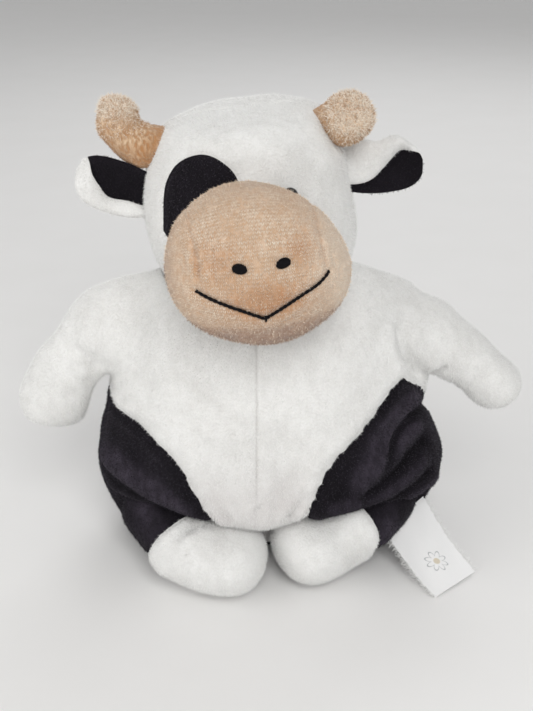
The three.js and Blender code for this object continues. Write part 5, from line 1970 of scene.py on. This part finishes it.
@dataclass
class Filling:
    """The stuffing behind the skins, the pellet pouch in the seat and the eyes' washers."""

    shop: Workshop
    inset: float = 4.5
    pouch_top: float = 24.0
    pouch_gap: float = 0.6
    floor: float = 2.4
    fill: float = 0.6

    def lump(self, surface: Surface, name: str, fabric: Fabric, carrier: Carrier, node: str, seed: int) -> None:
        """One lump of filling."""
        surface.push(0.5 * lumps(surface.points, 7, seed) - 0.5)
        surface.lift_to(self.floor)
        self.shop.piece(surface, name, fabric, carrier, node, self.fill)

    def torso(self, trunk: Trunk) -> None:
        """The torso's filling, and the bag of pellets under it."""
        upper = trunk.torso_form().surface(90, 64)
        upper.points[:, 0] -= trunk.pinch(upper.points)
        upper.push(-1.6 * self.inset)
        upper.points[:, 2] = np.clip(upper.points[:, 2], 3.0, 94.0)
        lower = upper.copy()
        above = np.maximum(upper.points[:, 2:] - self.pouch_top, 0.0)
        upper.lift_to(self.pouch_top + self.pouch_gap)
        lower.points[:, 2] = np.minimum(lower.points[:, 2], self.pouch_top - self.pouch_gap)
        lower.points[:, :2] *= 0.84 * np.maximum(1 - above / 40, 0.05)
        self.lump(upper, "torso_filling", self.shop.fibre, Bodies.TORSO, "torso_stuffing", 71)
        self.lump(lower, "pellet_bag", self.shop.pouch, Bodies.TORSO, "pellet_pouch", 72)

    def head(self, head: Head, muzzle: Muzzle) -> None:
        """The filling of the head and of the muzzle in front of it."""
        ball = head.form().surface(48, 40, self.inset)
        snout = muzzle.form().surface(48, 36, self.inset)
        x, y, z = snout.points.T
        skull = np.sqrt(np.maximum(38.5**2 - x**2 - np.minimum(z, 0) ** 2, 0))
        snout.points[:, 1] = np.minimum(y, -skull)
        for surface, name, seed in ((ball, "head", 73), (snout, "muzzle", 74)):
            self.lump(HEAD.placed(surface), f"{name}_filling", self.shop.fibre, Bodies.HEAD,
                      f"{name}_stuffing", seed)

    def limbs(self, trunk: Trunk, leg: Leg) -> None:
        """The filling of the arm, the leg and the horn on one side, and its eye's washer."""
        side, word = leg.side, leg.side.word
        arm, horn = trunk.arm_form(side), Horn(side)
        arm_core = SoftForm(arm.path[70:], ARM_CORE_SHARES, arm.half_width, arm.wide, arm.flatten)
        horn_core = SoftForm(horn.path()[90:], HORN_CORE_SHARES, horn.thickness / 2, (0.0, 1.0, 0.0))
        for surface, name, carrier, seed in (
            (arm_core.surface(32, 32, self.inset), "arm", trunk.blend(side), 75),
            (leg.foot_form().surface(32, 32, self.inset), "leg", f"leg_{word}", 76),
            (HEAD.placed(horn_core.surface(24, 20, self.inset)), "horn", Bodies.HEAD, 77),
        ):
            self.lump(surface, f"{name}_{word}_filling", self.shop.fibre, carrier, f"{name}_stuffing_{word}", seed)
        washer = frame["nodes"][f"eye_washer_{word}"]
        washer.data.materials.clear()
        washer.data.materials.append(self.shop.washer.material)


@dataclass
class Studio:
    """The camera, the lamps and the pale floor."""

    target: Place = (-0.0012, 0.0, 0.080)
    distance: float = 0.420
    elevation: float = 25.0
    lens: float = 55.49

    def camera(self) -> None:
        """Sets the camera where the photograph was taken from."""
        rise = math.radians(self.elevation)
        data = bpy.data.cameras.new("camera")
        data.lens, data.sensor_width = self.lens, 36.0
        camera = in_scene("camera", data)
        camera.location = Vector(self.target) + self.distance * Vector((0, -math.cos(rise), math.sin(rise)))
        camera.rotation_euler = (math.radians(90 - self.elevation), 0, 0)
        bpy.context.scene.camera = camera

    def lamp(self, name: str, place: Place, size: float, power: float, colour: Colour) -> None:
        """Hangs a soft lamp that looks at the cow."""
        data = bpy.data.lights.new(name, "AREA")
        data.shape, data.size, data.energy, data.color = "DISK", size, power, colour
        lamp = in_scene(name, data)
        lamp.location = place
        lamp.rotation_euler = (Vector((0, 0, self.target[2])) - Vector(place)).to_track_quat("-Z", "Y").to_euler()

    def floor(self) -> None:
        """Lays the floor."""
        mesh = bpy.data.meshes.new("floor")
        mesh.from_pydata([(-3, -3, 0), (3, -3, 0), (3, 3, 0), (-3, 3, 0)], [], [(0, 1, 2, 3)])
        graph = Graph("pale_floor", 0.85)
        graph.colour(graph.mixed(graph.noise(40, 3), (0.87, 0.865, 0.855), (0.90, 0.895, 0.89)))
        mesh.materials.append(graph.material)
        in_scene("floor", mesh)

    def world(self) -> None:
        """Fills the scene with even light and shows white behind the cow."""
        world = bpy.data.worlds.new("studio")
        world.use_nodes = True
        nodes, links = world.node_tree.nodes, world.node_tree.links
        background = nodes["Background"]
        background.inputs["Color"].default_value = (1.0, 1.0, 1.0, 1.0)
        path = nodes.new("ShaderNodeLightPath")
        seen = nodes.new("ShaderNodeMath")
        seen.operation = "MAXIMUM"
        links.new(path.outputs["Is Camera Ray"], seen.inputs[0])
        links.new(path.outputs["Is Glossy Ray"], seen.inputs[1])
        strength = nodes.new("ShaderNodeMix")
        strength.inputs[2].default_value = 0.40
        strength.inputs[3].default_value = 0.95
        links.new(seen.outputs[0], strength.inputs[0])
        links.new(strength.outputs[0], background.inputs["Strength"])
        bpy.context.scene.world = world

    def build(self) -> None:
        """Sets everything up."""
        bpy.context.scene.view_settings.view_transform = "Standard"
        self.camera()
        self.floor()
        self.world()
        self.lamp("key", (0.15, -0.92, 0.80), 0.6, 6.8, (1.0, 0.995, 0.985))
        self.lamp("fill", (-0.80, -0.50, 0.50), 0.8, 2.4, (1.0, 0.985, 0.96))
        self.lamp("back", (0.2, 0.8, 0.8), 0.7, 2.2, (1.0, 1.0, 1.0))


def main() -> None:
    """Builds the cow, piece by piece."""
    logging.basicConfig(level=logging.INFO, format="%(message)s")
    Studio().build()
    shop = Workshop()
    trunk, head, muzzle = Trunk(), Head(), Muzzle()
    legs = [Leg(side) for side in Side]
    body = trunk.build(shop)
    for leg in legs:
        leg.build(body, shop)
    skull = head.build(shop)
    muzzle.build(skull, shop)
    for side in Side:
        Horn(side).build(skull, shop)
        Ear(side).build(skull, head, shop)
    Tail().build(body, shop)
    Label().build(shop)
    filling = Filling(shop)
    filling.torso(trunk)
    filling.head(head, muzzle)
    for leg in legs:
        filling.limbs(trunk, leg)
    meshes = [piece.data for piece in bpy.data.objects if piece.type == "MESH"]
    log.info("%d faces in all", sum(len(mesh.polygons) for mesh in meshes))


if __name__ == "__main__":
    main()
